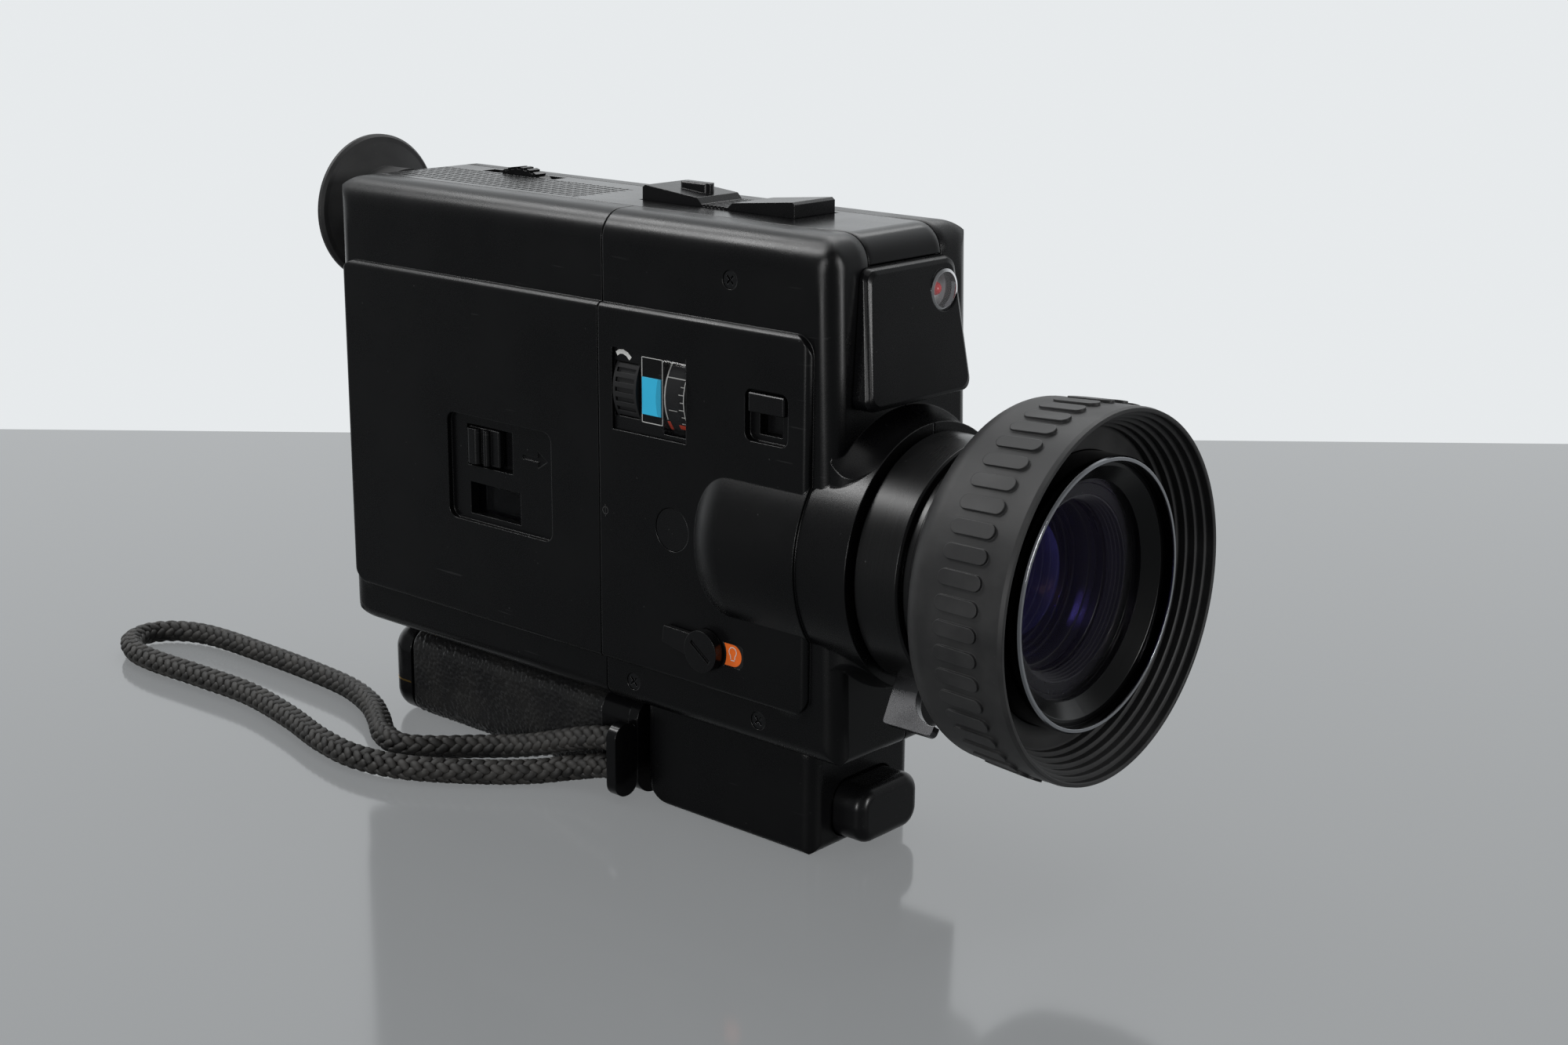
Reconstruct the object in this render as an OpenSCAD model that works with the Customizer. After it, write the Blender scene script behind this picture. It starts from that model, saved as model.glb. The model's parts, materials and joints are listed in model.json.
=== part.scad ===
// Cine camera for film cartridges, with a folding grip and a wrist strap
// Millimetres. Origin at the mouth of the tripod socket, +X towards the lens,
// +Y to the operator's left, +Z up. The grip is drawn folded under the body.

/* [Housing] */
// Tripod axis to the front face, at the foot of the body
body_front = 33.5; // [32:0.5:38]
// Tripod axis to the rear face
body_rear = 110.5; // [108:0.5:118]
// Width over the plain sides
body_width = 41.6; // [41:0.2:48]
// Underside of the body to its top
body_height = 100.2; // [99:0.2:106]
// How far the front face leans back over its height
front_rake = 3.1; // [1:0.1:5]
// Radius of the long top edges
top_edge_r = 5.6; // [5:0.2:8]
// Radius of the long bottom edges
foot_edge_r = 3.5; // [2.5:0.5:5]
// Radius of the upright corners
corner_r = 4; // [3:0.5:6]
// Radius of the lower rear corner, seen from the side
rear_foot_r = 9; // [6:0.5:9]
// Radius of the rear and front ends of the top, seen from the side
top_end_r = 5.5; // [4:0.5:6]
// Wall of the housing
wall = 1.8; // [1.4:0.1:2.2]
// Length of the film door, from the rear face to the split line
door_length = 82.5; // [80:0.5:84]
// Width of the top cover strip at the rear
strip_width = 25.4; // [24:0.2:27]
// Width of the top cover strip at the front
strip_front_width = 21.2; // [19:0.2:23]
// Depth that the top cover strip turns down over the ends
strip_drop = 5.5; // [4:0.5:8]
// Gap at the seams between the covers
seam = 0.3; // [0.2:0.05:0.5]

/* [Side panels] */
// Height of the raised panel over the plain side
panel_raise = 1.5; // [1:0.1:2]
// Rear face to the panel
panel_rear_gap = 2.9; // [2.5:0.1:5]
// Front face to the panel
panel_front_gap = 7.1; // [6:0.1:9]
// Underside to the panel
panel_foot_gap = 9.1; // [8:0.1:10]
// Top to the panel
panel_top_gap = 17.8; // [16:0.1:20]
// Corner radius of the panel outline
panel_corner_r = 4; // [2:0.5:6]
// Radius of the raised panels' lower rear corner
panel_rear_r = 6; // [4:0.5:7]
// Radius of the panel edge
panel_edge_r = 1.3; // [0.6:0.1:1.4]

/* [Lens] */
// Height of the lens axis over the table
lens_z = 61.5; // [60:0.5:63]
// How far the lens fairing, which stands out of both sides, is larger than the barrel in radius
fairing_rise = 4; // [3.6:0.1:4.8]
// Radius of the rounded rear end of the fairing
fairing_end_r = 12; // [8:0.5:14]
// Tripod axis back to the rear end of the fairing
fairing_rear = 5; // [3:0.5:7]
// Step round the fairing where the side panels end
fairing_step = 0.5; // [0.3:0.1:0.8]
// How far the fairing's lip stands in front of the front face
lip_length = 4.9; // [4:0.1:7]
// Outer radius of the fixed lens barrel
barrel_r = 21.7; // [20.5:0.1:22]
// Wall of the fixed lens barrel
barrel_wall = 1.9; // [1.5:0.1:2.2]
// Wall of the zoom ring at the rear
zoom_ring_wall = 1.95; // [1.6:0.05:2.4]
// Length of the zoom ring
zoom_ring_length = 9.8; // [9:0.1:12]
// Radial length of the zoom lever outside its ring
zoom_lever_reach = 9.4; // [7:0.2:11]
// Angle of the zoom lever from straight down, towards the operator's right
zoom_lever_angle = 34; // [20:1:50]
// Focus ring over the barrel
focus_ring_rise = 1.8; // [1.4:0.1:2.4]
// Radius of the hood at its front rim
hood_r = 35; // [34:0.1:37]
// Radius of the hood behind its ribs
hood_rear_r = 33.9; // [32.8:0.1:34.5]
// Length of the hood
hood_length = 23.2; // [21:0.1:26]
// Depth of the stepped mouth inside the hood
hood_mouth_depth = 9.6; // [8:0.1:11]
// Number of grip pads round the hood
hood_pads = 48; // [36:2:54]
// Filter thread over the barrel, inside the bright ring
filter_rise = 2.8; // [2.4:0.1:3.2]
// Front glass inside the barrel's radius
glass_inset = 1.3; // [1:0.1:1.8]
// Radius of curvature of the front glass
glass_dome = 96; // [90:1:140]
// Depth of the filter thread
filter_depth = 2.2; // [2:0.1:2.4]

/* [Front fascia] */
// Lens fairing to the foot of the fascia block
fascia_gap = 3.5; // [3:0.1:6]
// Width of the fascia block at its top
fascia_top_width = 26.4; // [24:0.2:28]
// Width of the fascia block at its foot
fascia_foot_width = 31.6; // [29:0.2:33]
// How far the fascia stands out at its top
fascia_top_depth = 1.8; // [1.5:0.1:3]
// How far the fascia stands out at its foot
fascia_foot_depth = 4.3; // [3.5:0.1:6]
// Top of the body to the top of the fascia
fascia_drop = 5.8; // [5.6:0.1:7]
// Diameter of the lamp in the fascia
lamp_d = 8; // [6:0.2:9]
// Lamp centre to the operator's left of the lens axis
lamp_side = 9; // [6:0.1:9.2]

/* [Base block and release] */
// Height of the base block
base_height = 22.3; // [22:0.1:25]
// Tripod axis to the front of the base block
base_front = 23; // [21.5:0.5:25]
// Tripod axis to the rear of the base block
base_rear = 22.75; // [22:0.25:26]
// Width of the base block and of the grip
base_width = 31; // [31:0.2:34]
// Tripod screw radius, 1/4 inch
tripod_r = 3.175; // [3.175:0.001:4.763]
// Depth of the tripod thread
tripod_depth = 8; // [6:0.5:10]
// Width of the release button
button_width = 18.4; // [14:0.2:20]
// Height of the release button
button_height = 11.6; // [10:0.2:13]
// How far the release button stands out of the base block
button_reach = 7.3; // [5:0.1:9]
// Travel of the release button
button_travel = 2.5; // [1.5:0.1:3]

/* [Folding grip] */
// Length of the grip behind its front flange
grip_length = 80.5; // [78:0.5:84]
// Height of the grip as folded
grip_height = 20.3; // [18.5:0.1:21]
// Radius of the long edges of the grip
grip_edge_r = 4.5; // [3:0.1:6]
// Length of the battery cap at the end of the grip
cap_length = 8; // [6:0.5:10]
// Length of the smooth collar at the front of the grip
collar_length = 11; // [9:0.5:13]
// Thickness of the grained cover
cover_thickness = 0.5; // [0.3:0.1:0.6]
// Radius of the grip's hinge pin
hinge_pin_r = 2; // [1.6:0.1:2.4]
// Tripod axis back to the grip's hinge
grip_hinge_back = 14.5; // [14:0.1:16]
// Height of the grip's hinge over the table
grip_hinge_z = 8.5; // [8:0.1:9]
// Gap between the grip's front face and the base block
grip_gap = 1.45; // [1.2:0.05:2.5]
// Diameter of a battery cell
cell_d = 14; // [13.5:0.1:14]
// Length of a battery cell
cell_length = 50; // [48:0.5:50.5]

/* [Eyepiece] */
// Top of the body to the eyepiece axis
eye_drop = 10.1; // [9.6:0.1:11]
// Radius of the eyepiece tube
eye_tube_r = 8; // [7:0.1:8.2]
// Radius of the eyecup flange
eyecup_r = 16.6; // [14:0.1:17]
// Rear face to the end of the eyecup
eyecup_reach = 12.6; // [12.2:0.1:14]
// Radius of the diopter wheel
diopter_r = 13; // [11.5:0.1:13.2]
// How far the diopter wheel stands out of the top
diopter_proud = 1.7; // [1.2:0.1:2.4]

/* [Controls] */
// Length of the zoom rocker
rocker_length = 40.3; // [34:0.1:42]
// Width of the zoom rocker
rocker_width = 12; // [9:0.1:13]
// Height of the rocker's ends over the top
rocker_rise = 3; // [2:0.1:4]
// Radius of the exposure thumbwheel
exposure_wheel_r = 11.3; // [10.6:0.1:11.5]
// Width of the exposure window in the cover
exposure_width = 19.9; // [19.5:0.1:21]
// Height of the exposure window in the cover
exposure_height = 16.5; // [16:0.1:18]
// Travel of the mode switch
switch_travel = 4.5; // [3:0.1:4.6]
// Radius of the filter lever's hub
filter_hub_r = 4.2; // [3.4:0.1:4.6]
// Length of the filter lever's arm
filter_arm = 10.7; // [9:0.1:12]
// Travel of the door latch
latch_travel = 4; // [3:0.1:4.5]
// Radius of the cover screw heads
screw_head_r = 1.75; // [1.4:0.05:1.9]

/* [Film drive] */
// Gear module of the shutter drive
gear_module = 0.5; // [0.4:0.02:0.52]
// Teeth on the shutter gear
shutter_teeth = 36; // [30:1:40]
// Teeth on the motor pinion
pinion_teeth = 12; // [12:1:14]
// Thinning of each gear tooth for backlash
gear_backlash = 0.12; // [0.08:0.01:0.16]
// Radius of the shutter disc
shutter_r = 18.2; // [17.8:0.1:18.4]
// Radius of the motor
motor_r = 7.5; // [6:0.1:7.8]
// Length of the motor
motor_length = 22.5; // [18:0.5:23]
// Height of one film frame, the stroke of the claw
frame_pitch = 4.23; // [3.8:0.01:4.23]

/* [Fits] */
// Radial clearance of a pin or shaft in its bearing
pin_clear = 0.05; // [0.03:0.01:0.09]
// Gap between a moving part and its neighbour
move_gap = 0.35; // [0.32:0.01:0.5]
// Gap between fixed parts that seat on each other
seat_gap = 0.05; // [0.02:0.01:0.1]

/* [Wrist strap] */
// Diameter of the braided strap
strap_d = 5.4; // [4:0.1:5.4]

/* [Hidden] */
$fn = 64;
eps = 0.01;

black = [0.07, 0.07, 0.075];
dark = [0.12, 0.12, 0.125];
rubber = [0.1, 0.1, 0.1];
metal = [0.62, 0.63, 0.65];
brass = [0.72, 0.58, 0.3];
clear = [0.8, 0.85, 0.9];

// Housing
foot_z = base_height;
top_z = foot_z + body_height;
half_w = body_width / 2;
panel_y = half_w + panel_raise;
inner_y = half_w - wall;
split_x = door_length - body_rear;
rake_angle = atan(front_rake / body_height);
panel_x0 = panel_rear_gap - body_rear;
panel_x1 = body_front - panel_front_gap;
panel_z0 = foot_z + panel_foot_gap;
panel_z1 = top_z - panel_top_gap;
strip_z = top_z - strip_drop;
grid_x0 = -105;
grid_x1 = -46;
grid_half = 10;
grid_pitch = 2.2;
fascia_top_z = top_z - fascia_drop;
fairing_r = barrel_r + fairing_rise;
fascia_foot_z = lens_z + fairing_r + fascia_gap;
fascia_height = fascia_top_z - fascia_foot_z;
fascia_tilt = atan((fascia_foot_depth - fascia_top_depth) / fascia_height);
lamp_drop = 6.2;
lamp_z = fascia_top_z - lamp_drop;
lamp_face_x = front_at(lamp_z) + mix(fascia_top_depth, fascia_foot_depth, lamp_drop / fascia_height);
eye_x0 = -body_rear - eyecup_reach;
eye_z = top_z - eye_drop;

// Lens stations along X
face_x = body_front - front_rake * (lens_z - foot_z) / body_height;
lip_x = face_x + front_rake * 0.4 + lip_length;
zoom_x0 = lip_x + 0.5;
zoom_x1 = zoom_x0 + zoom_ring_length;
stop_x0 = zoom_x1 + 0.5;
stop_x1 = stop_x0 + 1.4;
focus_x0 = stop_x1 + 0.4;
hood_x0 = focus_x0 + 5.5;
hood_shoulder = 5.5;
pad_length = 9.4;
pad_width = 2.8;
lever_t = 1.9;
hood_x1 = hood_x0 + hood_length;
floor_x = hood_x1 - hood_mouth_depth;
ring_x1 = hood_x1 - 3;
glass_x = ring_x1 - filter_depth - 2.4;
zoom_ring_r = barrel_r + move_gap + zoom_ring_wall;
focus_ring_r = barrel_r + focus_ring_rise;
filter_r = barrel_r + filter_rise;
glass_r = barrel_r - glass_inset;
barrel_in = barrel_r - barrel_wall;
sleeve_r = barrel_in - move_gap;
sleeve_in = sleeve_r - 2;
bulkhead_x0 = 4;
bulkhead_x1 = 6.5;

// Film chamber and drive
wall_y0 = 5.2;
wall_y1 = 7;
ceiling_z0 = top_z - 21.5;
ceiling_z1 = ceiling_z0 + wall;
gate_x0 = split_x - 3;
gate_x1 = gate_x0 + 2;
gate_plate = 2;
shutter_z = lens_z - 16;
gear_r = gear_module * shutter_teeth / 2;
pinion_r = gear_module * pinion_teeth / 2;
drive_dir = 210;
pinion_y = (gear_r + pinion_r) * cos(drive_dir);
pinion_z = shutter_z + (gear_r + pinion_r) * sin(drive_dir);
shutter_x = gate_x1 + 3;
gear_x0 = shutter_x + 1.6;
gear_x1 = gear_x0 + 2.5;
shaft_r = 1.5;
claw_y = -3;
spindle_back = 38;
spindle_x = gate_x0 - spindle_back;
rear_glass_curve = 25.5;
rear_glass_t = 5;
cell_back = 14.5;
cell_bore = 14;
cell_run = 9;

// Controls
exposure_x0 = split_x + 3.9;
exposure_x1 = exposure_x0 + exposure_width;
exposure_z = panel_z1 - 16.55;
exposure_y = exposure_wheel_r - panel_y - 0.3;
wheel_x0 = exposure_x0 + 0.5;
wheel_x1 = wheel_x0 + 6.3;
dial_x0 = exposure_x1 - 6.1;
dial_x1 = exposure_x1 - 0.5;
dial_r = exposure_wheel_r - 0.5;
window_r = dial_r + 1.8;
switch_x = 16.3;
switch_z = panel_z1 - 13.9;
switch_w = 10.6;
switch_h = 10;
switch_foot = switch_z + 2.5 - switch_h;
filter_x = 1.6;
filter_z = lens_z - 21.6;
plug_x = -8;
plug_z = lens_z + 0.7;
plug_r = 4.4;
latch_x0 = split_x - 45.9;
latch_x1 = split_x - 14;
latch_z0 = lens_z - 8.6;
latch_z1 = lens_z + 14.5;
knob_x0 = latch_x0 + 5.3;
knob_w = 9.4;
knob_z0 = lens_z + 3.8;
knob_z1 = lens_z + 12;
peep_z0 = lens_z - 7.1;
peep_z1 = lens_z - 0.2;
screw_spots = [[5.7, top_z - 9.8], [-20.4, foot_z + 5.3], [13.4, foot_z + 5.3]];
rocker_x1 = 6.5;
rocker_x0 = rocker_x1 - rocker_length;
rocker_y = 2.5;
rocker_pivot_x = rocker_x1 - rocker_length / 2;
rocker_pivot_z = top_z - wall - 1.8;
diopter_x = -82.3;
diopter_y = 7.4;
diopter_w = 3;
diopter_z = top_z + diopter_proud - diopter_r;
hinge_x = -body_rear - 0.9;
hinge_y = -strip_width / 2;
knuckle_r = 2;
knuckle_z = [lens_z - 16.5, lens_z - 4.5, lens_z + 11.5, lens_z + 23.5];
door_pin_r = 0.9;
counter_x0 = -58;
counter_x1 = -44;
counter_z0 = panel_z1 - 14.7;
counter_z1 = panel_z1 - 7.7;
socket_x = 14;
socket_z = lens_z - 23.5;
socket_r = 3.6;
socket_bore_r = 1.75;
button_z0 = 1.8;
button_corner_r = 4.2;
button_edge_r = 2.2;
button_rear = base_front - button_travel - 1;
button_mid = button_z0 + button_height / 2;
spring_r = 2.4;
spring_x0 = 9;

// Grip
grip_x1 = -base_rear - grip_gap;
grip_x0 = grip_x1 - grip_length;
cap_x1 = grip_x0 + cap_length;
cover_x1 = grip_x1 - collar_length;
hinge_x_grip = -grip_hinge_back;
tongue_w = 12;
tongue_r = 6;
cell_y = cell_d / 2 + 0.1;
cell_z = grip_height / 2;
cell_x0 = cap_x1 + 0.7;
contact_x = cell_x0 + cell_length + seat_gap;
anchor_y = base_width / 2 + 3.4;
cap_corner_r = 5.4;

// Wrist strap, from one end in the grip's collar round to the other, lying on the table
lie = strap_d / 2 + 0.1;
strap_route = [[-25, -anchor_y, 12.2], [-31, -anchor_y, 12.2], [-40, -19.2, 9.6], [-49, -19.7, 6.4],
    [-58, -20.9, 3.9],
    [-66, -24.6, lie], [-71.5, -30.2, lie], [-78, -34.2, lie], [-86, -32.6, lie], [-95, -27, lie],
    [-104, -22.2, lie], [-116, -18.6, lie], [-132, -17.2, lie], [-151, -16.8, lie], [-167, -17, lie],
    [-176, -18.5, lie], [-182.4, -22.3, lie], [-184.8, -27.6, lie], [-182.4, -32.9, lie],
        [-176, -36.7, lie],
    [-166, -38, lie], [-149, -37.2, lie], [-130, -36.8, lie], [-111, -39.8, lie], [-94, -44, lie],
    [-80.5, -45.4, lie], [-68, -42.6, lie], [-56, -35.2, lie], [-46.5, -26.8, lie], [-38.5, -20.8, 4.1],
    [-31, -anchor_y, 6], [-25, -anchor_y, 6]];

// Outlines and extrusions

function unit(v) = v / norm(v);
function mix(a, b, t) = a + (b - a) * t;

// The front face at a height
function front_at(z) = body_front - front_rake * (z - foot_z) / body_height;

// A convex outline with a true arc at each corner
module rounded_outline(points, radii) {
    n = len(points);
    to_last = [for (i = [0:n - 1]) unit(points[(i + n - 1) % n] - points[i])];
    to_next = [for (i = [0:n - 1]) unit(points[(i + 1) % n] - points[i])];
    half = [for (i = [0:n - 1]) acos(to_last[i] * to_next[i]) / 2];
    reach = [for (i = [0:n - 1]) radii[i] / tan(half[i])];
    polygon([for (i = [0:n - 1]) each [points[i] + to_last[i] * reach[i],
        points[i] + to_next[i] * reach[i]]]);
    for (i = [0:n - 1])
        translate(points[i] + unit(to_last[i] + to_next[i]) * radii[i] / sin(half[i]))
            circle(radii[i]);
}

function box_points(x0, x1, z0, z1) = [[x0, z0], [x1, z0], [x1, z1], [x0, z1]];

function alike(r) = [r, r, r, r];

module rounded_box_outline(x0, x1, z0, z1, r)
    rounded_outline(box_points(x0, x1, z0, z1), alike(r));

// Outline in x and z, carried along y
module along_y(y0, y1)
    translate([0, y1, 0]) rotate([90, 0, 0]) linear_extrude(y1 - y0) children();

// Outline in y and z, carried along x
module along_x(x0, x1)
    translate([x0, 0, 0]) rotate([90, 0, 90]) linear_extrude(x1 - x0) children();

// Outline in x and y, carried along z
module along_z(z0, z1)
    translate([0, 0, z0]) linear_extrude(z1 - z0) children();

// Outline in radius and x, turned about an axis parallel to x
module turn_x(z, y = 0)
    translate([0, y, z]) rotate([0, 90, 0]) rotate_extrude() children();

module rod_x(x0, x1, r, y, z)
    translate([x0, y, z]) rotate([0, 90, 0]) cylinder(h = x1 - x0, r = r);

module rod_y(y0, y1, r, x, z)
    translate([x, y1, z]) rotate([90, 0, 0]) cylinder(h = y1 - y0, r = r);

module block(lo, hi)
    translate(lo) cube(hi - lo);

// Unit vectors from corner i of an outline to the corners before and after it
function legs(p, i) = [unit(p[(i + len(p) - 1) % len(p)] - p[i]), unit(p[(i + 1) % len(p)] - p[i])];

function half_angle(p, i) = acos(legs(p, i)[0] * legs(p, i)[1]) / 2;

// Middle of a rounding of radius r at corner i
function corner_middle(p, i, r) =
    p[i] + unit(legs(p, i)[0] + legs(p, i)[1]) * r / sin(half_angle(p, i));

// Strip w wide and h high, with its two outer corners rounded by e
module rim_outline(w, e, h) {
    square([w - e, h]);
    translate([0, e]) square([w, h - 2 * e]);
    intersection() {
        union() {
            translate([w - e, e]) circle(e);
            translate([w - e, h - e]) circle(e);
        }
        square([w, h]);
    }
}

// A plate of thickness h with rounded corners, the edges of both its faces rounded by e
module pillow(points, radii, e, h) {
    n = len(points);
    depth = e + 1;
    linear_extrude(h)
        rounded_outline([for (i = [0:n - 1]) corner_middle(points, i, e)], [for (r = radii) r - e]);
    for (i = [0:n - 1]) {
        j = (i + 1) % n;
        side = unit(points[j] - points[i]);
        from = points[i] + side * radii[i] / tan(half_angle(points, i));
        to = points[j] - side * radii[j] / tan(half_angle(points, j));
        translate(to - [side[1], -side[0]] * depth) rotate([90, 0, atan2(-side[0], side[1])])
            linear_extrude(norm(to - from)) rim_outline(depth, e, h);
        translate(corner_middle(points, i, radii[i])) rotate_extrude() rim_outline(radii[i], e, h);
    }
}

// A box with rounded edges in all three views
module soft_box(lo, hi, rx, ry, rz) {
    intersection() {
        along_x(lo[0], hi[0]) rounded_box_outline(lo[1], hi[1], lo[2], hi[2], rx);
        along_y(lo[1], hi[1]) rounded_box_outline(lo[0], hi[0], lo[2], hi[2], ry);
        along_z(lo[2], hi[2]) rounded_box_outline(lo[0], hi[0], lo[1], hi[1], rz);
    }
}

// A tube of r round a list of points
function ring_at(path, i, r, sides, ref) =
    let (n = len(path),
        t = unit(path[min(i + 1, n - 1)] - path[max(i - 1, 0)]),
        side = unit(cross(t, ref)),
        up = cross(side, t))
    [for (k = [0:sides - 1]) path[i] + r * (cos(360 * k / sides) * side + sin(360 * k / sides) * up)];

module tube(path, r, sides, ref) {
    n = len(path);
    polyhedron(
        [for (i = [0:n - 1]) each ring_at(path, i, r, sides, ref)],
        concat(
            [[for (k = [0:sides - 1]) k]],
            [for (i = [0:n - 2], k = [0:sides - 1])
                [i * sides + k, (i + 1) * sides + k, (i + 1) * sides + (k + 1) % sides,
                    i * sides + (k + 1) % sides]],
            [[for (k = [sides - 1:-1:0]) (n - 1) * sides + k]]));
}

// Involute gear outline with its teeth thinned for backlash
function inv(a) = tan(a) * 180 / PI - a;

function tooth(m, n, mid) =
    let (rp = m * n / 2, rb = rp * cos(20), ra = rp + m, rf = rp - 1.25 * m, r0 = max(rb, rf) + eps,
        half = 90 / n - gear_backlash / 2 / rp * 180 / PI,
        flank = [for (s = [0:4])
            let (r = mix(r0, ra, s / 4)) [r, half + inv(20) - inv(acos(rb / r))]])
    concat([[rf, mid - flank[0][1]]], [for (f = flank) [f[0], mid - f[1]]],
        [for (s = [4:-1:0]) [flank[s][0], mid + flank[s][1]]], [[rf, mid + flank[0][1]]]);

module gear_outline(m, n, first)
    polygon([for (k = [0:n - 1], p = tooth(m, n, first + 360 * k / n)) p[0] * [cos(p[1]), sin(p[1])]]);

// Housing forms that the covers are cut from

// The plain body without its panels, set in by i on every side
module body_form(i) {
    function in(r) = max(r - i, 0.6);
    hw = half_w - i;
    rear = i - body_rear;
    intersection() {
        along_y(-hw - 1, hw + 1)
            rounded_outline([[rear, foot_z + i], [front_at(foot_z + i) - i, foot_z + i],
                [front_at(top_z - i) - i, top_z - i], [rear, top_z - i]],
                [in(rear_foot_r), in(2), in(top_end_r), in(top_end_r)]);
        along_x(rear - 1, body_front + 1)
            rounded_outline([[-hw, foot_z + i], [hw, foot_z + i], [hw, top_z - i], [-hw, top_z - i]],
                [in(foot_edge_r), in(foot_edge_r), in(top_edge_r), in(top_edge_r)]);
        along_z(foot_z - 1, top_z + 1)
            rounded_outline([[rear, -hw], [body_front + 30, -hw - 0.03], [body_front + 30, hw + 0.03],
                [rear, hw]],
                [in(corner_r), 1, 1, in(corner_r)]);
        translate([front_at(foot_z) - i + 0.03, 0, foot_z]) rotate([0, -rake_angle, 0])
            along_z(-5, body_height + 5)
                rounded_box_outline(-body_rear * 2, 0, -hw - 0.03, hw + 0.03, in(corner_r));
    }
}

module panel_form()
    intersection() {
        along_y(-panel_y - 1, panel_y + 1)
            rounded_outline([[panel_x0, panel_z0], [panel_x1, panel_z0], [panel_x1, panel_z1],
                [panel_x0, panel_z1]], [panel_rear_r, panel_corner_r, panel_corner_r, panel_corner_r]);
        along_x(panel_x0 - 1, panel_x1 + 1)
            rounded_box_outline(-panel_y, panel_y, panel_z0, panel_z1, panel_edge_r);
        along_z(panel_z0 - 1, panel_z1 + 1)
            rounded_box_outline(panel_x0, panel_x1, -panel_y, panel_y, panel_edge_r);
    }

// The lens fairing, set in by i, from its rounded rear end to x1
module fairing_form(i, x1) {
    r = fairing_r - i;
    end_r = fairing_end_r - i;
    x0 = i - fairing_rear;
    turn_x(lens_z) {
        translate([0, x0 + end_r]) square([r, x1 - x0 - end_r]);
        translate([0, x0]) square([r - end_r, end_r + eps]);
        translate([r - end_r, x0 + end_r]) circle(end_r);
    }
}

// Hollow fillet between the front face and the fairing's lip
module lip_flare() {
    rise = fascia_foot_z - seam - lens_z - fairing_r;
    run = lip_x - face_x + 2;
    rho = (rise * rise + run * run) / (2 * rise);
    intersection() {
        turn_x(lens_z)
            difference() {
                translate([barrel_r + 1, face_x - 2]) square([fairing_r + rise - barrel_r - 1, run]);
                translate([fairing_r + rho, lip_x]) circle(rho);
            }
        along_z(foot_z + 1, top_z)
            rounded_box_outline(face_x - 20, lip_x + 1, 0.4 - half_w, half_w - 0.4, corner_r + 5);
    }
}

module outer_form() {
    body_form(0);
    panel_form();
    fairing_form(0, lip_x);
    fairing_form(-fairing_step, panel_x1);
    lip_flare();
}

module inner_form() {
    body_form(wall);
    fairing_form(wall, lip_x - 2);
    rod_x(lip_x - 3, lip_x + 5, barrel_r + move_gap, 0, lens_z);
}

function strip_line(x) =
    mix(strip_width, strip_front_width, (x + body_rear) / (body_front + body_rear)) / 2;

// The part of the top, seen from above, that belongs to the top cover
module strip_outline(grow) {
    x0 = -body_rear - 2;
    x1 = body_front + 2;
    polygon([[x0, -strip_line(x0) - grow], [x1, -strip_line(x1) - grow], [x1, strip_line(x1) + grow],
        [x0, strip_line(x0) + grow]]);
}

module strip_zone(grow)
    along_z(strip_z - grow, top_z + 5) strip_outline(grow);

// The part that swings away with the film door, seen from above
module door_zone(grow) {
    x0 = -body_rear - 5;
    along_z(foot_z - 5, top_z + 5)
        polygon([[x0, grow - strip_line(x0)], [x0, -60], [split_x + grow, -60],
            [split_x + grow, grow - strip_line(split_x)]]);
}

module front_right_zone(grow)
    block([split_x - grow, -60, foot_z - 5], [lip_x + 5, grow, top_z + 5]);

module knuckle(z0, z1, grow = 0)
    translate([hinge_x, hinge_y, z0]) cylinder(h = z1 - z0, r = knuckle_r + grow);

module door_pin_hole()
    translate([hinge_x, hinge_y, knuckle_z[0] - 1])
        cylinder(h = knuckle_z[3] - knuckle_z[0] + 2, r = door_pin_r + pin_clear);

module screw_hole(side, spot) {
    x = spot[0];
    z = spot[1];
    y = side * half_w;
    rod_y(min(y, y - side * 0.9) - (side < 0 ? 1 : 0), max(y, y - side * 0.9) + (side > 0 ? 1 : 0),
        screw_head_r + seat_gap, x, z);
    rod_y(min(y, y - side * 4), max(y, y - side * 4), 0.9 + seat_gap, x, z);
}

// Fixed parts of the housing

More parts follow.
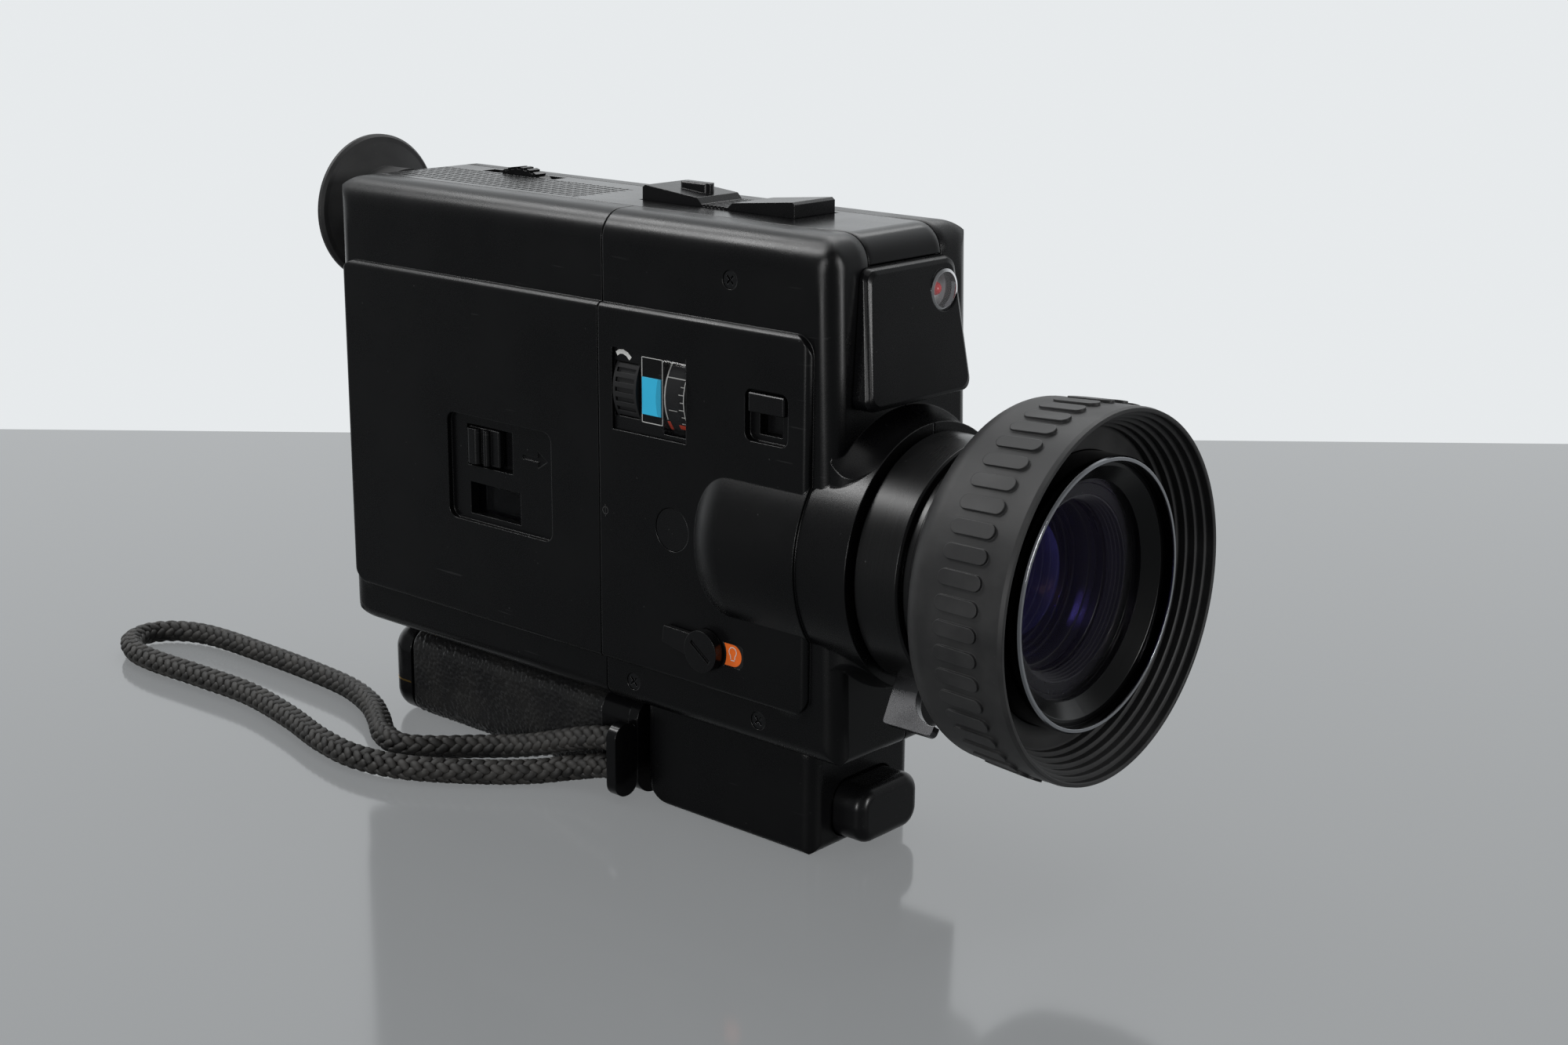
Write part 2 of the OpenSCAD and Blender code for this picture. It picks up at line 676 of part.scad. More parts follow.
module main_chassis() {
    floor_x0 = wall - body_rear + 7;
    step_z = foot_z + wall + 6;
    color(dark) difference() {
        union() {
            block([floor_x0, wall_y0, foot_z + wall + 0.1], [gate_x0 + 1, wall_y1, ceiling_z1]);
            block([wall - body_rear + 2.4, wall_y0, step_z], [floor_x0 + 1, wall_y1, ceiling_z1]);
            block([wall - body_rear + 0.5, 2 - inner_y, ceiling_z0],
                [bulkhead_x1, inner_y - 2, ceiling_z1]);
            block([floor_x0, 5 - strip_width / 2, foot_z + wall + 0.1],
                [bulkhead_x1, 14, foot_z + wall + 1.9]);
            block([gate_x0, 0.8 - inner_y, foot_z + wall + 1.8], [gate_x1, inner_y - 0.8, ceiling_z1]);
            block([bulkhead_x0, 0.8 - inner_y, foot_z + wall + 1.8],
                [bulkhead_x1, inner_y - 0.8, ceiling_z1]);
            block([diopter_x - 5, wall_y0, ceiling_z1 - 1], [diopter_x + 5, wall_y1, diopter_z + 4]);
        }
        rod_x(bulkhead_x0 - 1, bulkhead_x1 + 1, 11, 0, lens_z);
        block([gate_x0 - 1, -4, lens_z - 4], [gate_x1 + 1, 4, lens_z + 4]);
        block([gate_x0 - 1, claw_y - 1, lens_z - 10], [gate_x1 + 1, claw_y + 1, lens_z]);
        rod_x(gate_x0 - 1, gate_x1 + 1, shaft_r + pin_clear, 0, shutter_z);
        rod_y(wall_y0 - 1, wall_y1 + 1, 3 + pin_clear, spindle_x, lens_z);
        rod_y(wall_y0 - 1, wall_y1 + 1, shaft_r + pin_clear, diopter_x, diopter_z);
        block([diopter_x - diopter_r - 0.4, diopter_y - 0.4, ceiling_z0 - 1],
            [diopter_x + diopter_r + 0.4, diopter_y + diopter_w + 0.4, ceiling_z1 + 1]);
    }
}

module left_cover() {
    color(black) difference() {
        union() {
            difference() {
                outer_form();
                inner_form();
                door_zone(seam / 2);
                front_right_zone(seam / 2);
                strip_zone(seam);
            }
            intersection() {
                union() {
                    knuckle(knuckle_z[0], knuckle_z[1]);
                    knuckle(knuckle_z[2], knuckle_z[3]);
                }
                block([hinge_x - 5, hinge_y - 5, foot_z], [wall - body_rear - 0.2, hinge_y + 5, top_z]);
            }
        }
        knuckle(knuckle_z[1] - 0.01, knuckle_z[2] + 0.01, move_gap);
        door_pin_hole();
        rod_x(-body_rear - 3, -body_rear + 6, eye_tube_r + seat_gap, 0, eye_z);
        rod_x(20, 40, lamp_d / 2 + seat_gap, lamp_side, lamp_z);
        for (spot = screw_spots) screw_hole(1, spot);
        block([counter_x0, panel_y - 1, counter_z0], [counter_x1, panel_y + 1, counter_z1]);
        block([counter_x0 + 1, inner_y - 5, counter_z0 + 1], [counter_x1 - 1, panel_y, counter_z1 - 1]);
        rod_y(inner_y - 5, panel_y + 2, socket_r + seat_gap, socket_x, socket_z);
    }
}

module right_cover() {
    color(black) difference() {
        intersection() {
            difference() {
                outer_form();
                inner_form();
            }
            front_right_zone(-seam / 2);
        }
        strip_zone(seam);
        for (spot = screw_spots) screw_hole(-1, spot);
        block([exposure_x0, -panel_y - 1, exposure_z - exposure_height / 2],
            [exposure_x1, 2 - inner_y, exposure_z + exposure_height / 2]);
        rod_x(wheel_x0 - move_gap, wheel_x1 + move_gap, exposure_wheel_r + move_gap, exposure_y,
            exposure_z);
        along_y(-panel_y - 1, 1.5 - panel_y)
            rounded_box_outline(switch_x - switch_w / 2, switch_x + switch_w / 2, switch_foot,
                switch_foot + switch_h, 1.6);
        block([switch_x - 2.8, -panel_y - 1, switch_z - 1.7 - switch_travel], [switch_x + 2.8, 2 - inner_y,
            switch_z + 1.7]);
        rod_y(-panel_y - 1, 1 - panel_y, plug_r, plug_x, plug_z);
        rod_y(-panel_y - 1, 2 - inner_y, shaft_r + pin_clear, filter_x, filter_z);
        along_y(-panel_y - 1, 0.5 - panel_y) inlay_outline(0);
    }
}

module inlay_outline(inset)
    difference() {
        rounded_box_outline(filter_x + filter_hub_r - 1, filter_x + filter_hub_r + 5.1 - inset,
            filter_z - 2.3 + inset, filter_z + 2.5 - inset, 1.1);
        translate([filter_x, filter_z]) circle(filter_hub_r + 0.6 + inset);
    }

module top_cover() {
    color(black) difference() {
        intersection() {
            difference() {
                body_form(0);
                body_form(wall);
            }
            strip_zone(0);
        }
        block([rocker_x0 - 0.6, rocker_y - rocker_width / 2 - 0.5, top_z - 5],
            [rocker_x1 + 0.6, rocker_y + rocker_width / 2 + 0.5, top_z + 5]);
        block([diopter_x - 11.5, diopter_y - 0.4, top_z - 5], [diopter_x + 11.5,
            diopter_y + diopter_w + 0.4,
            top_z + 5]);
        for (x = [grid_x0:grid_pitch:grid_x1])
            block([x, -grid_half, top_z - 0.25], [x + 0.45, min(grid_half, diopter_y - 1), top_z + 1]);
        for (y = [-grid_half:grid_pitch:diopter_y - 1.2])
            block([grid_x0, y, top_z - 0.25], [grid_x1 + 0.4, y + 0.45, top_z + 1]);
        rod_x(-body_rear - 3, -body_rear + 6, eye_tube_r + seat_gap, 0, eye_z);
    }
}

// Front fascia block with its lamp

module fascia_outline(inset)
    rounded_outline([[-fascia_foot_width / 2 + inset, inset], [fascia_foot_width / 2 - inset, inset],
        [fascia_top_width / 2 - inset, fascia_height - inset], [-fascia_top_width / 2 + inset,
        fascia_height - inset]], [2.2, 2.2, 2.2, 2.2]);

module fascia_slice(depth, tilt, inset)
    translate([front_at(fascia_foot_z) + depth, 0, fascia_foot_z]) rotate([0, -tilt, 0])
        along_x(0, eps) fascia_outline(inset);

module front_fascia() {
    color(black) difference() {
        hull() {
            fascia_slice(seat_gap, rake_angle, 0);
            fascia_slice(fascia_foot_depth - 1.1, rake_angle + fascia_tilt, 0);
            fascia_slice(fascia_foot_depth - 0.35, rake_angle + fascia_tilt, 0.35);
            fascia_slice(fascia_foot_depth, rake_angle + fascia_tilt, 1.1);
        }
        rod_x(body_front - 15, body_front + 15, lamp_d / 2 + seat_gap, lamp_side, lamp_z);
    }
}

module lamp_reflector() {
    color(metal) turn_x(lamp_z, lamp_side)
        difference() {
            translate([0, lamp_face_x - 5.4]) square([lamp_d / 2, 4.4]);
            translate([0, lamp_face_x + 0.2]) circle(4.9);
            translate([-20, lamp_face_x - 8]) square([20, 20]);
            translate([0, lamp_face_x - 7]) square([1.1, 5]);
        }
}

module lamp_diode() {
    color([0.8, 0.05, 0.05]) {
        rod_x(lamp_face_x - 5.4, lamp_face_x - 3.6, 1.05, lamp_side, lamp_z);
        translate([lamp_face_x - 3.6, lamp_side, lamp_z]) sphere(1.05);
    }
}

module lamp_lens() {
    color(clear) turn_x(lamp_z, lamp_side)
        intersection() {
            translate([0, lamp_face_x - 0.95]) square([lamp_d / 2, 3]);
            translate([0, lamp_face_x - 11.3]) circle(12);
        }
}

// Base block, tripod socket and release

module base_form()
    intersection() {
        along_y(-base_width / 2, base_width / 2)
            rounded_outline([[-base_rear, 0], [base_front, 0], [base_front, base_height],
                [-base_rear, base_height]],
                [base_rear - grip_hinge_back - 0.1, 2, 0.6, 0.6]);
        along_z(-1, base_height + 1)
            rounded_box_outline(-base_rear, base_front, -base_width / 2, base_width / 2, 3);
        along_x(-base_rear - 1, base_front + 1)
            rounded_box_outline(-base_width / 2, base_width / 2, 0, base_height + 5, 1.2);
    }

module base_block() {
    color(black) difference() {
        base_form();
        block([-base_rear - 1, -tongue_w / 2 - move_gap, -1],
            [hinge_x_grip + tongue_r + move_gap, tongue_w / 2 + move_gap,
                grip_hinge_z + tongue_r + move_gap]);
        rod_y(4 - base_width / 2, base_width / 2 + 1, hinge_pin_r + seat_gap, hinge_x_grip, grip_hinge_z);
        translate([0, 0, -1]) cylinder(h = tripod_depth + 3, r = tripod_r + 2 + seat_gap);
        along_x(button_rear - button_travel - 0.4, base_front + 1)
            rounded_box_outline(-button_width / 2 - move_gap, button_width / 2 + move_gap,
                button_z0 - move_gap, button_z0 + button_height + move_gap, button_corner_r + move_gap);
        rod_x(spring_x0, base_front, spring_r + 0.8, 0, button_mid);
    }
}

module tripod_bush() {
    color(metal) difference() {
        cylinder(h = tripod_depth + 2, r = tripod_r + 2);
        translate([0, 0, -1]) cylinder(h = tripod_depth + 1, r = tripod_r);
    }
}

module release_button() {
    color(black) difference() {
        translate([button_rear, 0, 0]) rotate([90, 0, 90])
            pillow(box_points(-button_width / 2, button_width / 2, button_z0, button_z0 + button_height),
                alike(button_corner_r), button_edge_r, base_front + button_reach - button_rear);
        rod_x(button_rear - 1, button_rear + 2, spring_r + 0.8, 0, button_mid);
    }
}

module release_spring() {
    turns = 6;
    steps = 12;
    x1 = button_rear + 2 - 0.35;
    color(metal)
        tube([for (i = [0:turns * steps])
            [mix(spring_x0 + 0.35, x1, i / turns / steps), spring_r * cos(360 * i / steps),
                button_mid + spring_r * sin(360 * i / steps)]], 0.3, 6, [1, 0, 0]);
}

module grip_hinge_pin()
    color(metal) rod_y(4.2 - base_width / 2, base_width / 2 - 0.2, hinge_pin_r, hinge_x_grip, grip_hinge_z);

module cover_screws() {
    color(dark) for (side = [-1, 1], spot = screw_spots) difference() {
        y = side * half_w;
        union() {
            rod_y(min(y - side * 0.15, y - side * 0.9), max(y - side * 0.15, y - side * 0.9),
                screw_head_r, spot[0],
                spot[1]);
            rod_y(min(y - side * 0.5, y - side * 4), max(y - side * 0.5, y - side * 4), 0.9, spot[0],
                spot[1]);
        }
        for (a = [45, 135]) translate([spot[0], y, spot[1]]) rotate([0, a, 0])
            cube([2.2, 1.2, 0.4], center = true);
    }
}

module access_plug()
    color(dark) rod_y(0.1 - panel_y, 1 - panel_y - 0.01, plug_r - 0.1, plug_x, plug_z);

module filter_inlay()
    color([0.95, 0.36, 0.08]) along_y(0.05 - panel_y, 0.49 - panel_y) inlay_outline(seat_gap);

module counter_window()
    color(clear) block([counter_x0 + 0.1, panel_y - 0.99, counter_z0 + 0.1],
        [counter_x1 - 0.1, panel_y - 0.15, counter_z1 - 0.1]);

module remote_socket() {
    color(metal) difference() {
        union() {
            rod_y(inner_y - 4, panel_y, socket_r, socket_x, socket_z);
            rod_y(inner_y - 2, inner_y - 0.1, socket_r + 1.2, socket_x, socket_z);
        }
        rod_y(inner_y - 5, panel_y + 1, socket_bore_r, socket_x, socket_z);
    }
}

// Exposure window with its wheel and dial

module exposure_frame() {
    z0 = exposure_z - exposure_height / 2 + seat_gap;
    z1 = exposure_z + exposure_height / 2 - seat_gap;
    color(dark) difference() {
        union() {
            block([exposure_x0 + seat_gap, 0.7 - panel_y, z0], [exposure_x1 - seat_gap, 2.7 - panel_y, z1]);
            for (x = [exposure_x0 - 1.6, exposure_x1 + 0.4])
                block([x, 0.1 - inner_y, exposure_z - 5], [x + 1.2, exposure_y + 3, exposure_z + 5]);
            block([exposure_x0 - 1.6, 0.1 - inner_y, exposure_z - exposure_height / 2 - 2],
                [exposure_x1 + 1.6, 1.3 - inner_y, exposure_z - exposure_height / 2 + 0.5]);
            block([exposure_x0 - 1.6, 0.1 - inner_y, exposure_z + exposure_height / 2 - 0.5],
                [exposure_x1 + 1.6, 1.3 - inner_y, exposure_z + exposure_height / 2 + 2]);
            block([exposure_x0 - 1.6, 0.1 - inner_y, exposure_z - exposure_height / 2],
                [exposure_x0 + 0.1, 1.3 - inner_y, exposure_z + exposure_height / 2]);
            block([exposure_x1 - 0.1, 0.1 - inner_y, exposure_z - exposure_height / 2],
                [exposure_x1 + 1.6, 1.3 - inner_y, exposure_z + exposure_height / 2]);
            block([exposure_x0 + seat_gap, 2.6 - panel_y, z0], [exposure_x1 - seat_gap, 1.3 - inner_y,
                z0 + 0.4]);
            block([exposure_x0 + seat_gap, 2.6 - panel_y, z1 - 0.4],
                [exposure_x1 - seat_gap, 1.3 - inner_y, z1]);
        }
        rod_x(wheel_x0 - move_gap, wheel_x1 + move_gap, exposure_wheel_r + move_gap, exposure_y,
            exposure_z);
        rod_x(dial_x0 - move_gap, dial_x1 + move_gap, window_r + seat_gap, exposure_y, exposure_z);
        rod_x(exposure_x0 - 5, exposure_x1 + 5, shaft_r + pin_clear, exposure_y, exposure_z);
    }
}

module mode_window()
    color([0.1, 0.62, 0.85])
        block([wheel_x1 + 1, 0.4 - panel_y, exposure_z - 4.1], [dial_x0 - 0.9, 0.7 - panel_y - 0.005,
            exposure_z + 3.3]);

module exposure_window() {
    color(clear) intersection() {
        difference() {
            rod_x(dial_x0 - 0.3, dial_x1 + 0.3, window_r, exposure_y, exposure_z);
            rod_x(dial_x0 - 1, dial_x1 + 1, window_r - 1, exposure_y, exposure_z);
        }
        block([dial_x0 - 1, -panel_y - 5, exposure_z - exposure_height / 2 + 0.2],
            [dial_x1 + 1, exposure_y, exposure_z + exposure_height / 2 - 0.2]);
    }
}

module exposure_wheel() {
    color(dark) {
        difference() {
            rod_x(wheel_x0, wheel_x1, exposure_wheel_r, exposure_y, exposure_z);
            for (a = [0:10:350])
                translate([0, exposure_y, exposure_z]) rotate([a, 0, 0])
                    block([wheel_x0 + 0.6, -0.45, exposure_wheel_r - 0.6], [wheel_x1 - 0.6, 0.45,
                        exposure_wheel_r + 1]);
        }
        rod_x(exposure_x0 - 1.8, exposure_x1 + 1.8, shaft_r, exposure_y, exposure_z);
        rod_x(dial_x0, dial_x1, dial_r, exposure_y, exposure_z);
    }
}

// Switch, filter lever and plug on the right side

module mode_switch() {
    knob_z = [switch_z - 1.9, switch_z + 1.9];
    color(dark) {
        soft_box([switch_x - 4.5, -panel_y - 0.2, knob_z[0]], [switch_x + 4.5,
            1.5 - panel_y - move_gap, knob_z[1]],
            0.5, 0.6, 0.5);
        block([switch_x - 2.3, 1 - panel_y, switch_z - 1.3], [switch_x + 2.3, move_gap + 0.4 - inner_y,
            switch_z + 1.3]);
        block([switch_x - 4, move_gap - inner_y, switch_z - switch_travel - 2.3],
            [switch_x + 4, move_gap + 1 - inner_y, switch_z + switch_travel + 1.9]);
    }
}

module filter_lever() {
    y1 = -panel_y - move_gap;
    arm_angle = 7;
    color(black) difference() {
        union() {
            rod_y(y1 - 2, y1, filter_hub_r, filter_x, filter_z);
            rod_y(y1 - 0.5, 0.4 - inner_y, shaft_r, filter_x, filter_z);
            translate([filter_x, 0, filter_z]) rotate([0, arm_angle, 0])
                along_y(y1 - 1.3, y1 - 0.1)
                    polygon([[-1, -2.6], [-1, 2.6], [-filter_arm, 1.7], [-filter_arm, -1.7]]);
        }
        translate([filter_x, y1 - 2, filter_z]) rotate([0, 35, 0])
            cube([filter_hub_r * 1.4, 0.9, 0.9], center = true);
    }
}

// Top rocker and diopter wheel

module rocker_seat() {
    x0 = rocker_x0 - 2;
    x1 = rocker_x1 + 2;
    y0 = rocker_y - rocker_width / 2 - 2;
    y1 = rocker_y + rocker_width / 2 + 2;
    top = top_z - wall - 0.05;
    color(dark) difference() {
        block([x0, y0, top - 4.2], [x1, y1, top]);
        block([x0 + 1.2, y0 + 1.5, top - 3], [x1 - 1.2, y1 - 1.5, top + 1]);
        rod_y(y0 - 1, y1 + 1, 1 + pin_clear, rocker_pivot_x, rocker_pivot_z);
    }
}

module zoom_rocker() {
    foot = top_z - 1.2;
    mid0 = rocker_x0 + rocker_length * 0.4;
    mid1 = rocker_x0 + rocker_length * 0.575;
    y0 = rocker_y - rocker_width / 2;
    y1 = rocker_y + rocker_width / 2;
    color(black) difference() {
        union() {
            along_y(y0, y1)
                polygon([[rocker_x0, foot], [rocker_x1, foot], [rocker_x1, top_z + rocker_rise - 0.5],
                    [rocker_x1 - 0.7, top_z + rocker_rise], [mid1 + 1.2, top_z + 1.5], [mid1, top_z + 0.5],
                    [mid0, top_z + 0.5], [mid0 - 1.2, top_z + 1.7], [rocker_x0 + 0.7, top_z + rocker_rise],
                    [rocker_x0, top_z + rocker_rise - 0.5]]);
            rod_y(y0 - 2, y1 + 2, 1, rocker_pivot_x, rocker_pivot_z);
            along_y(y0 + 1, y1 - 1)
                polygon([[rocker_pivot_x - 4, foot + 0.1], [rocker_pivot_x - 1, rocker_pivot_z - 0.8],
                    [rocker_pivot_x + 1, rocker_pivot_z - 0.8], [rocker_pivot_x + 4, foot + 0.1]]);
            soft_box([rocker_x0 + 5.5, rocker_y - 1.3, top_z + 1.5], [rocker_x0 + 13.5, rocker_y + 1.3,
                top_z + rocker_rise + 0.9], 0.5, 0.6, 1.2);
        }
        for (x = [mid0 + 0.5:1:mid1 - 0.7])
            block([x, y0 - 1, top_z + 0.1], [x + 0.5, y1 + 1, top_z + 1]);
    }
}

module diopter_wheel() {
    color(dark) difference() {
        union() {
            rod_y(diopter_y, diopter_y + diopter_w, diopter_r, diopter_x, diopter_z);
            rod_y(wall_y0 - 0.5, diopter_y + eps, shaft_r, diopter_x, diopter_z);
        }
        for (a = [0:9:351])
            translate([diopter_x, 0, diopter_z]) rotate([0, a, 0])
                block([-0.5, diopter_y - 1, diopter_r - 0.5], [0.5, diopter_y + diopter_w + 1,
                    diopter_r + 1]);
    }
}

// Eyepiece

module eyepiece_tube() {
    color(black) difference() {
        rod_x(eye_x0 + 4.4, -body_rear + 14, eye_tube_r, 0, eye_z);
        rod_x(eye_x0 + 3, -body_rear + 12.5, eye_tube_r - 1.5, 0, eye_z);
        rod_x(eye_x0, -body_rear + 20, eye_tube_r - 3, 0, eye_z);
    }
}

module eyepiece_lens() {
    color(clear) turn_x(eye_z)
        intersection() {
            translate([0, eye_x0 + 5.6]) square([eye_tube_r - 1.5 - seat_gap, 4]);
            translate([0, eye_x0 + 5.6 + 13]) circle(13);
        }
}

module eyecup() {
    r0 = eye_tube_r + seat_gap;
    r1 = eyecup_r;
    color(rubber) turn_x(eye_z)
        polygon([[r0, -body_rear - 0.4], [r0 + 1.6, -body_rear - 0.4], [r0 + 1.6, eye_x0 + 4.6],
            [r1 - 1.6, eye_x0 + 2.5], [r1 - 0.6, eye_x0 + 2.3], [r1, eye_x0 + 1.6], [r1, eye_x0 + 0.8],
            [r1 - 0.6, eye_x0 + 0.1], [r1 - 1.4, eye_x0], [r0 - 1.3, eye_x0 + 3.2],
                [r0 - 1.3, eye_x0 + 4.3],
            [r0, eye_x0 + 4.3]]);
}

// Lens

module lens_barrel() {
    color(dark) turn_x(lens_z)
        polygon([[barrel_in, bulkhead_x1], [barrel_r + 1.6, bulkhead_x1],
            [barrel_r + 1.6, bulkhead_x1 + 2.4],
            [barrel_r, bulkhead_x1 + 2.4], [barrel_r, stop_x0], [barrel_r + 0.6, stop_x0],
                [barrel_r + 0.6, stop_x1],
            [barrel_in, stop_x1]]);
}

module rear_lens_group() {
    x0 = bulkhead_x1 + 3;
    color(clear) turn_x(lens_z)
        difference() {
            translate([0, x0]) square([barrel_in - seat_gap, rear_glass_t]);
            translate([0, x0 + rear_glass_t - 1.5 + rear_glass_curve]) circle(rear_glass_curve);
            translate([-barrel_r * 3, -barrel_r * 3]) square([barrel_r * 3, barrel_r * 9]);
        }
}

module zoom_cell() {
    x0 = bulkhead_x1 + cell_back;
    r1 = barrel_in - move_gap;
    curve = cell_bore * 2.15;
    color(dark) turn_x(lens_z) {
        polygon([[cell_bore, x0], [r1, x0], [r1, x0 + cell_run], [cell_bore, x0 + cell_run]]);
        intersection() {
            translate([0, x0 + 2]) square([cell_bore + eps, cell_run - 3]);
            translate([0, x0 + cell_run - 2 - curve]) circle(curve);
        }
    }
}

module zoom_ring() {
    color(black) difference() {
        turn_x(lens_z)
            polygon([[barrel_r + move_gap, zoom_x0], [zoom_ring_r - 0.5, zoom_x0],
                [zoom_ring_r, zoom_x0 + 0.5],
                [zoom_ring_r - 0.4, zoom_x1 - 0.4], [zoom_ring_r - 0.8, zoom_x1],
                    [barrel_r + move_gap, zoom_x1]]);
        translate([0, 0, lens_z]) rotate([-zoom_lever_angle, 0, 0])
            block([zoom_x0 + 2.9, -lever_t / 2 - seat_gap, -zoom_ring_r - 2],
                [zoom_x1 + 1, lever_t / 2 + seat_gap, -zoom_ring_r + 1.2]);
    }
}

module zoom_lever() {
    x0 = zoom_x0 + 3;
    r0 = zoom_ring_r - 1.2 + seat_gap;
    r1 = zoom_ring_r + zoom_lever_reach;
    color(metal) translate([0, 0, lens_z]) rotate([-zoom_lever_angle, 0, 0])
        along_y(-lever_t / 2, lever_t / 2)
            difference() {
                rounded_outline([[x0 + 1, -r1], [x0 + 12.2, -r1], [x0 + 12.2, 2.3 - r1],
                    [zoom_x1 - 0.9, -r0], [x0, -r0]], [0.8, 1.1, 0.5, 0.4, 0.4]);
                translate([x0 + 11.4, -r1 + 7.4]) circle(5.4);
            }
}

module focus_ring() {
    color(black) turn_x(lens_z)
        polygon([[sleeve_in, focus_x0 - 8], [sleeve_r, focus_x0 - 8], [sleeve_r, focus_x0],
            [focus_ring_r - 0.4, focus_x0],
            [focus_ring_r, focus_x0 + 0.4], [focus_ring_r, focus_x0 + 8], [sleeve_r, focus_x0 + 8],
            [sleeve_r, glass_x - 1.6], [sleeve_in, glass_x - 1.6], [sleeve_in, glass_x - 5],
                [sleeve_in - 1.5, glass_x - 5.5],
            [sleeve_in - 1.5, glass_x - 7], [sleeve_in, glass_x - 7]]);
}

// A pill outline made of two circles and a square
module pill_outline(length, width) {
    square([length - width, width], center = true);
    for (s = [-1, 1]) translate([s * (length - width) / 2, 0]) circle(width / 2);
}

module lens_hood() {
    neck_r = focus_ring_r + seat_gap;
    pad_x = hood_x0 + 13.2;
    cone = atan((hood_r - hood_rear_r) / (hood_length - hood_shoulder));
    mouth_r = hood_r - 1;
    steps = 6;
    step = hood_mouth_depth / steps;
    back_r = hood_r - 5.4;
    color(rubber) {
        turn_x(lens_z)
            difference() {
                union() {
                    polygon([[filter_r + 1, hood_x0 + hood_shoulder],
                        [hood_rear_r, hood_x0 + hood_shoulder], [hood_r - 0.4, hood_x1 - 0.9],
                        [hood_r - 0.6, hood_x1], [mouth_r - 0.2, hood_x1],
                        for (i = [0:steps - 1]) each [
                            [mix(mouth_r, back_r, (i + 0.55) / steps), hood_x1 - step * (i + 0.1)],
                            [mix(mouth_r, back_r, (i + 0.45) / steps), hood_x1 - step * (i + 0.95)],
                            [mix(mouth_r, back_r, (i + 1) / steps), hood_x1 - step * (i + 1)]],
                        [filter_r + 1, floor_x]]);
                    intersection() {
                        translate([neck_r, hood_x0]) square([hood_rear_r - neck_r, hood_shoulder + eps]);
                        union() {
                            translate([hood_rear_r - hood_shoulder,
                                hood_x0 + hood_shoulder]) circle(hood_shoulder);
                            translate([neck_r, hood_x0]) square([hood_rear_r - hood_shoulder - neck_r,
                                hood_shoulder + 0.5]);
                        }
                    }
                }
                translate([0, hood_x0 - 1]) square([neck_r, 5]);
            }
        for (k = [0:hood_pads - 1])
            translate([0, 0, lens_z]) rotate([360 * k / hood_pads, 0, 0])
                translate([pad_x, 0, mix(hood_rear_r, hood_r,
                    (pad_x - hood_x0 - hood_shoulder) / (hood_length - hood_shoulder))])
                    rotate([0, -cone, 0]) translate([0, 0,
                        -1.5]) linear_extrude(1.8) pill_outline(pad_length, pad_width);
    }
}

module name_ring() {
    color(black) turn_x(lens_z)
        polygon([[sleeve_r + seat_gap, floor_x - 4], [filter_r - 0.5, floor_x - 4],
            [filter_r - 0.5, ring_x1 - filter_depth],
            [filter_r - 1.2, ring_x1 - filter_depth], [glass_r + 0.1, glass_x - 0.2],
                [glass_r + 0.1, glass_x - 1.5],
            [sleeve_r + seat_gap, glass_x - 1.5]]);
}

module bright_ring() {
    color(metal) turn_x(lens_z)
        polygon([[filter_r - 0.45, floor_x - 2], [filter_r + 0.9, floor_x - 2],
            [filter_r + 0.9, ring_x1 - 0.3],
            [filter_r + 0.6, ring_x1], [filter_r, ring_x1], [filter_r, ring_x1 - filter_depth],
            [filter_r - 0.45, ring_x1 - filter_depth]]);
}

module front_element() {
    edge = sqrt(glass_dome * glass_dome - glass_r * glass_r);
    color(clear) turn_x(lens_z)
        intersection() {
            translate([0, glass_x - 1.45]) square([glass_r, 12]);
            translate([0, glass_x - edge]) circle(glass_dome, $fn = 128);
        }
}

// Film drive

module film_gate() {
    x1 = gate_x0 - seat_gap;
    x0 = x1 - gate_plate;
    color(metal) difference() {
        block([x0, -15, lens_z - 16], [x1, wall_y0 - seat_gap, lens_z + 16]);
        block([x0 - 1, -2.9, lens_z - 2.1], [x1 + 1, 2.9, lens_z + 2.1]);
        block([x0 - 1, claw_y - 1, lens_z - 10], [x1 + 1, claw_y + 1, lens_z]);
    }
}

module pulldown_claw() {
    z1 = lens_z - 1.2;
    x0 = gate_x1 + move_gap;
    color(metal) {
        block([x0, claw_y - 2, z1 - 9], [x0 + 0.8, claw_y + 2, z1]);
        block([gate_x0 - gate_plate - 0.9, claw_y - 0.6, z1 - 1], [x0 + 0.1, claw_y + 0.6, z1 - 0.1]);
    }
}

module shutter_disc() {
    color(dark) translate([0, 0, shutter_z]) {
        difference() {
            rod_x(shutter_x, shutter_x + 0.6, shutter_r, 0, 0);
            intersection() {
                rod_x(shutter_x - 1, shutter_x + 2, shutter_r + 1, 0, 0);
                along_x(shutter_x - 1, shutter_x + 2) polygon([[0, 0], [40, 4], [40, 40], [-2, 40],
                    [-2, 12]]);
                difference() {
                    rod_x(shutter_x - 1, shutter_x + 2, shutter_r + 1, 0, 0);
                    rod_x(shutter_x - 2, shutter_x + 3, gear_r + 2, 0, 0);
                }
            }
        }
        along_x(gear_x0, gear_x1) gear_outline(gear_module, shutter_teeth, drive_dir);
        rod_x(gate_x0 + 0.2, gear_x1, shaft_r, 0, 0);
    }
}

module motor_pinion() {
    color(brass) translate([0, pinion_y, pinion_z]) {
        along_x(gear_x0, gear_x1)
            gear_outline(gear_module, pinion_teeth, drive_dir + 180 + 180 / pinion_teeth);
        rod_x(gear_x1 - eps, bulkhead_x0 - motor_length + 5, 1, 0, 0);
    }
}

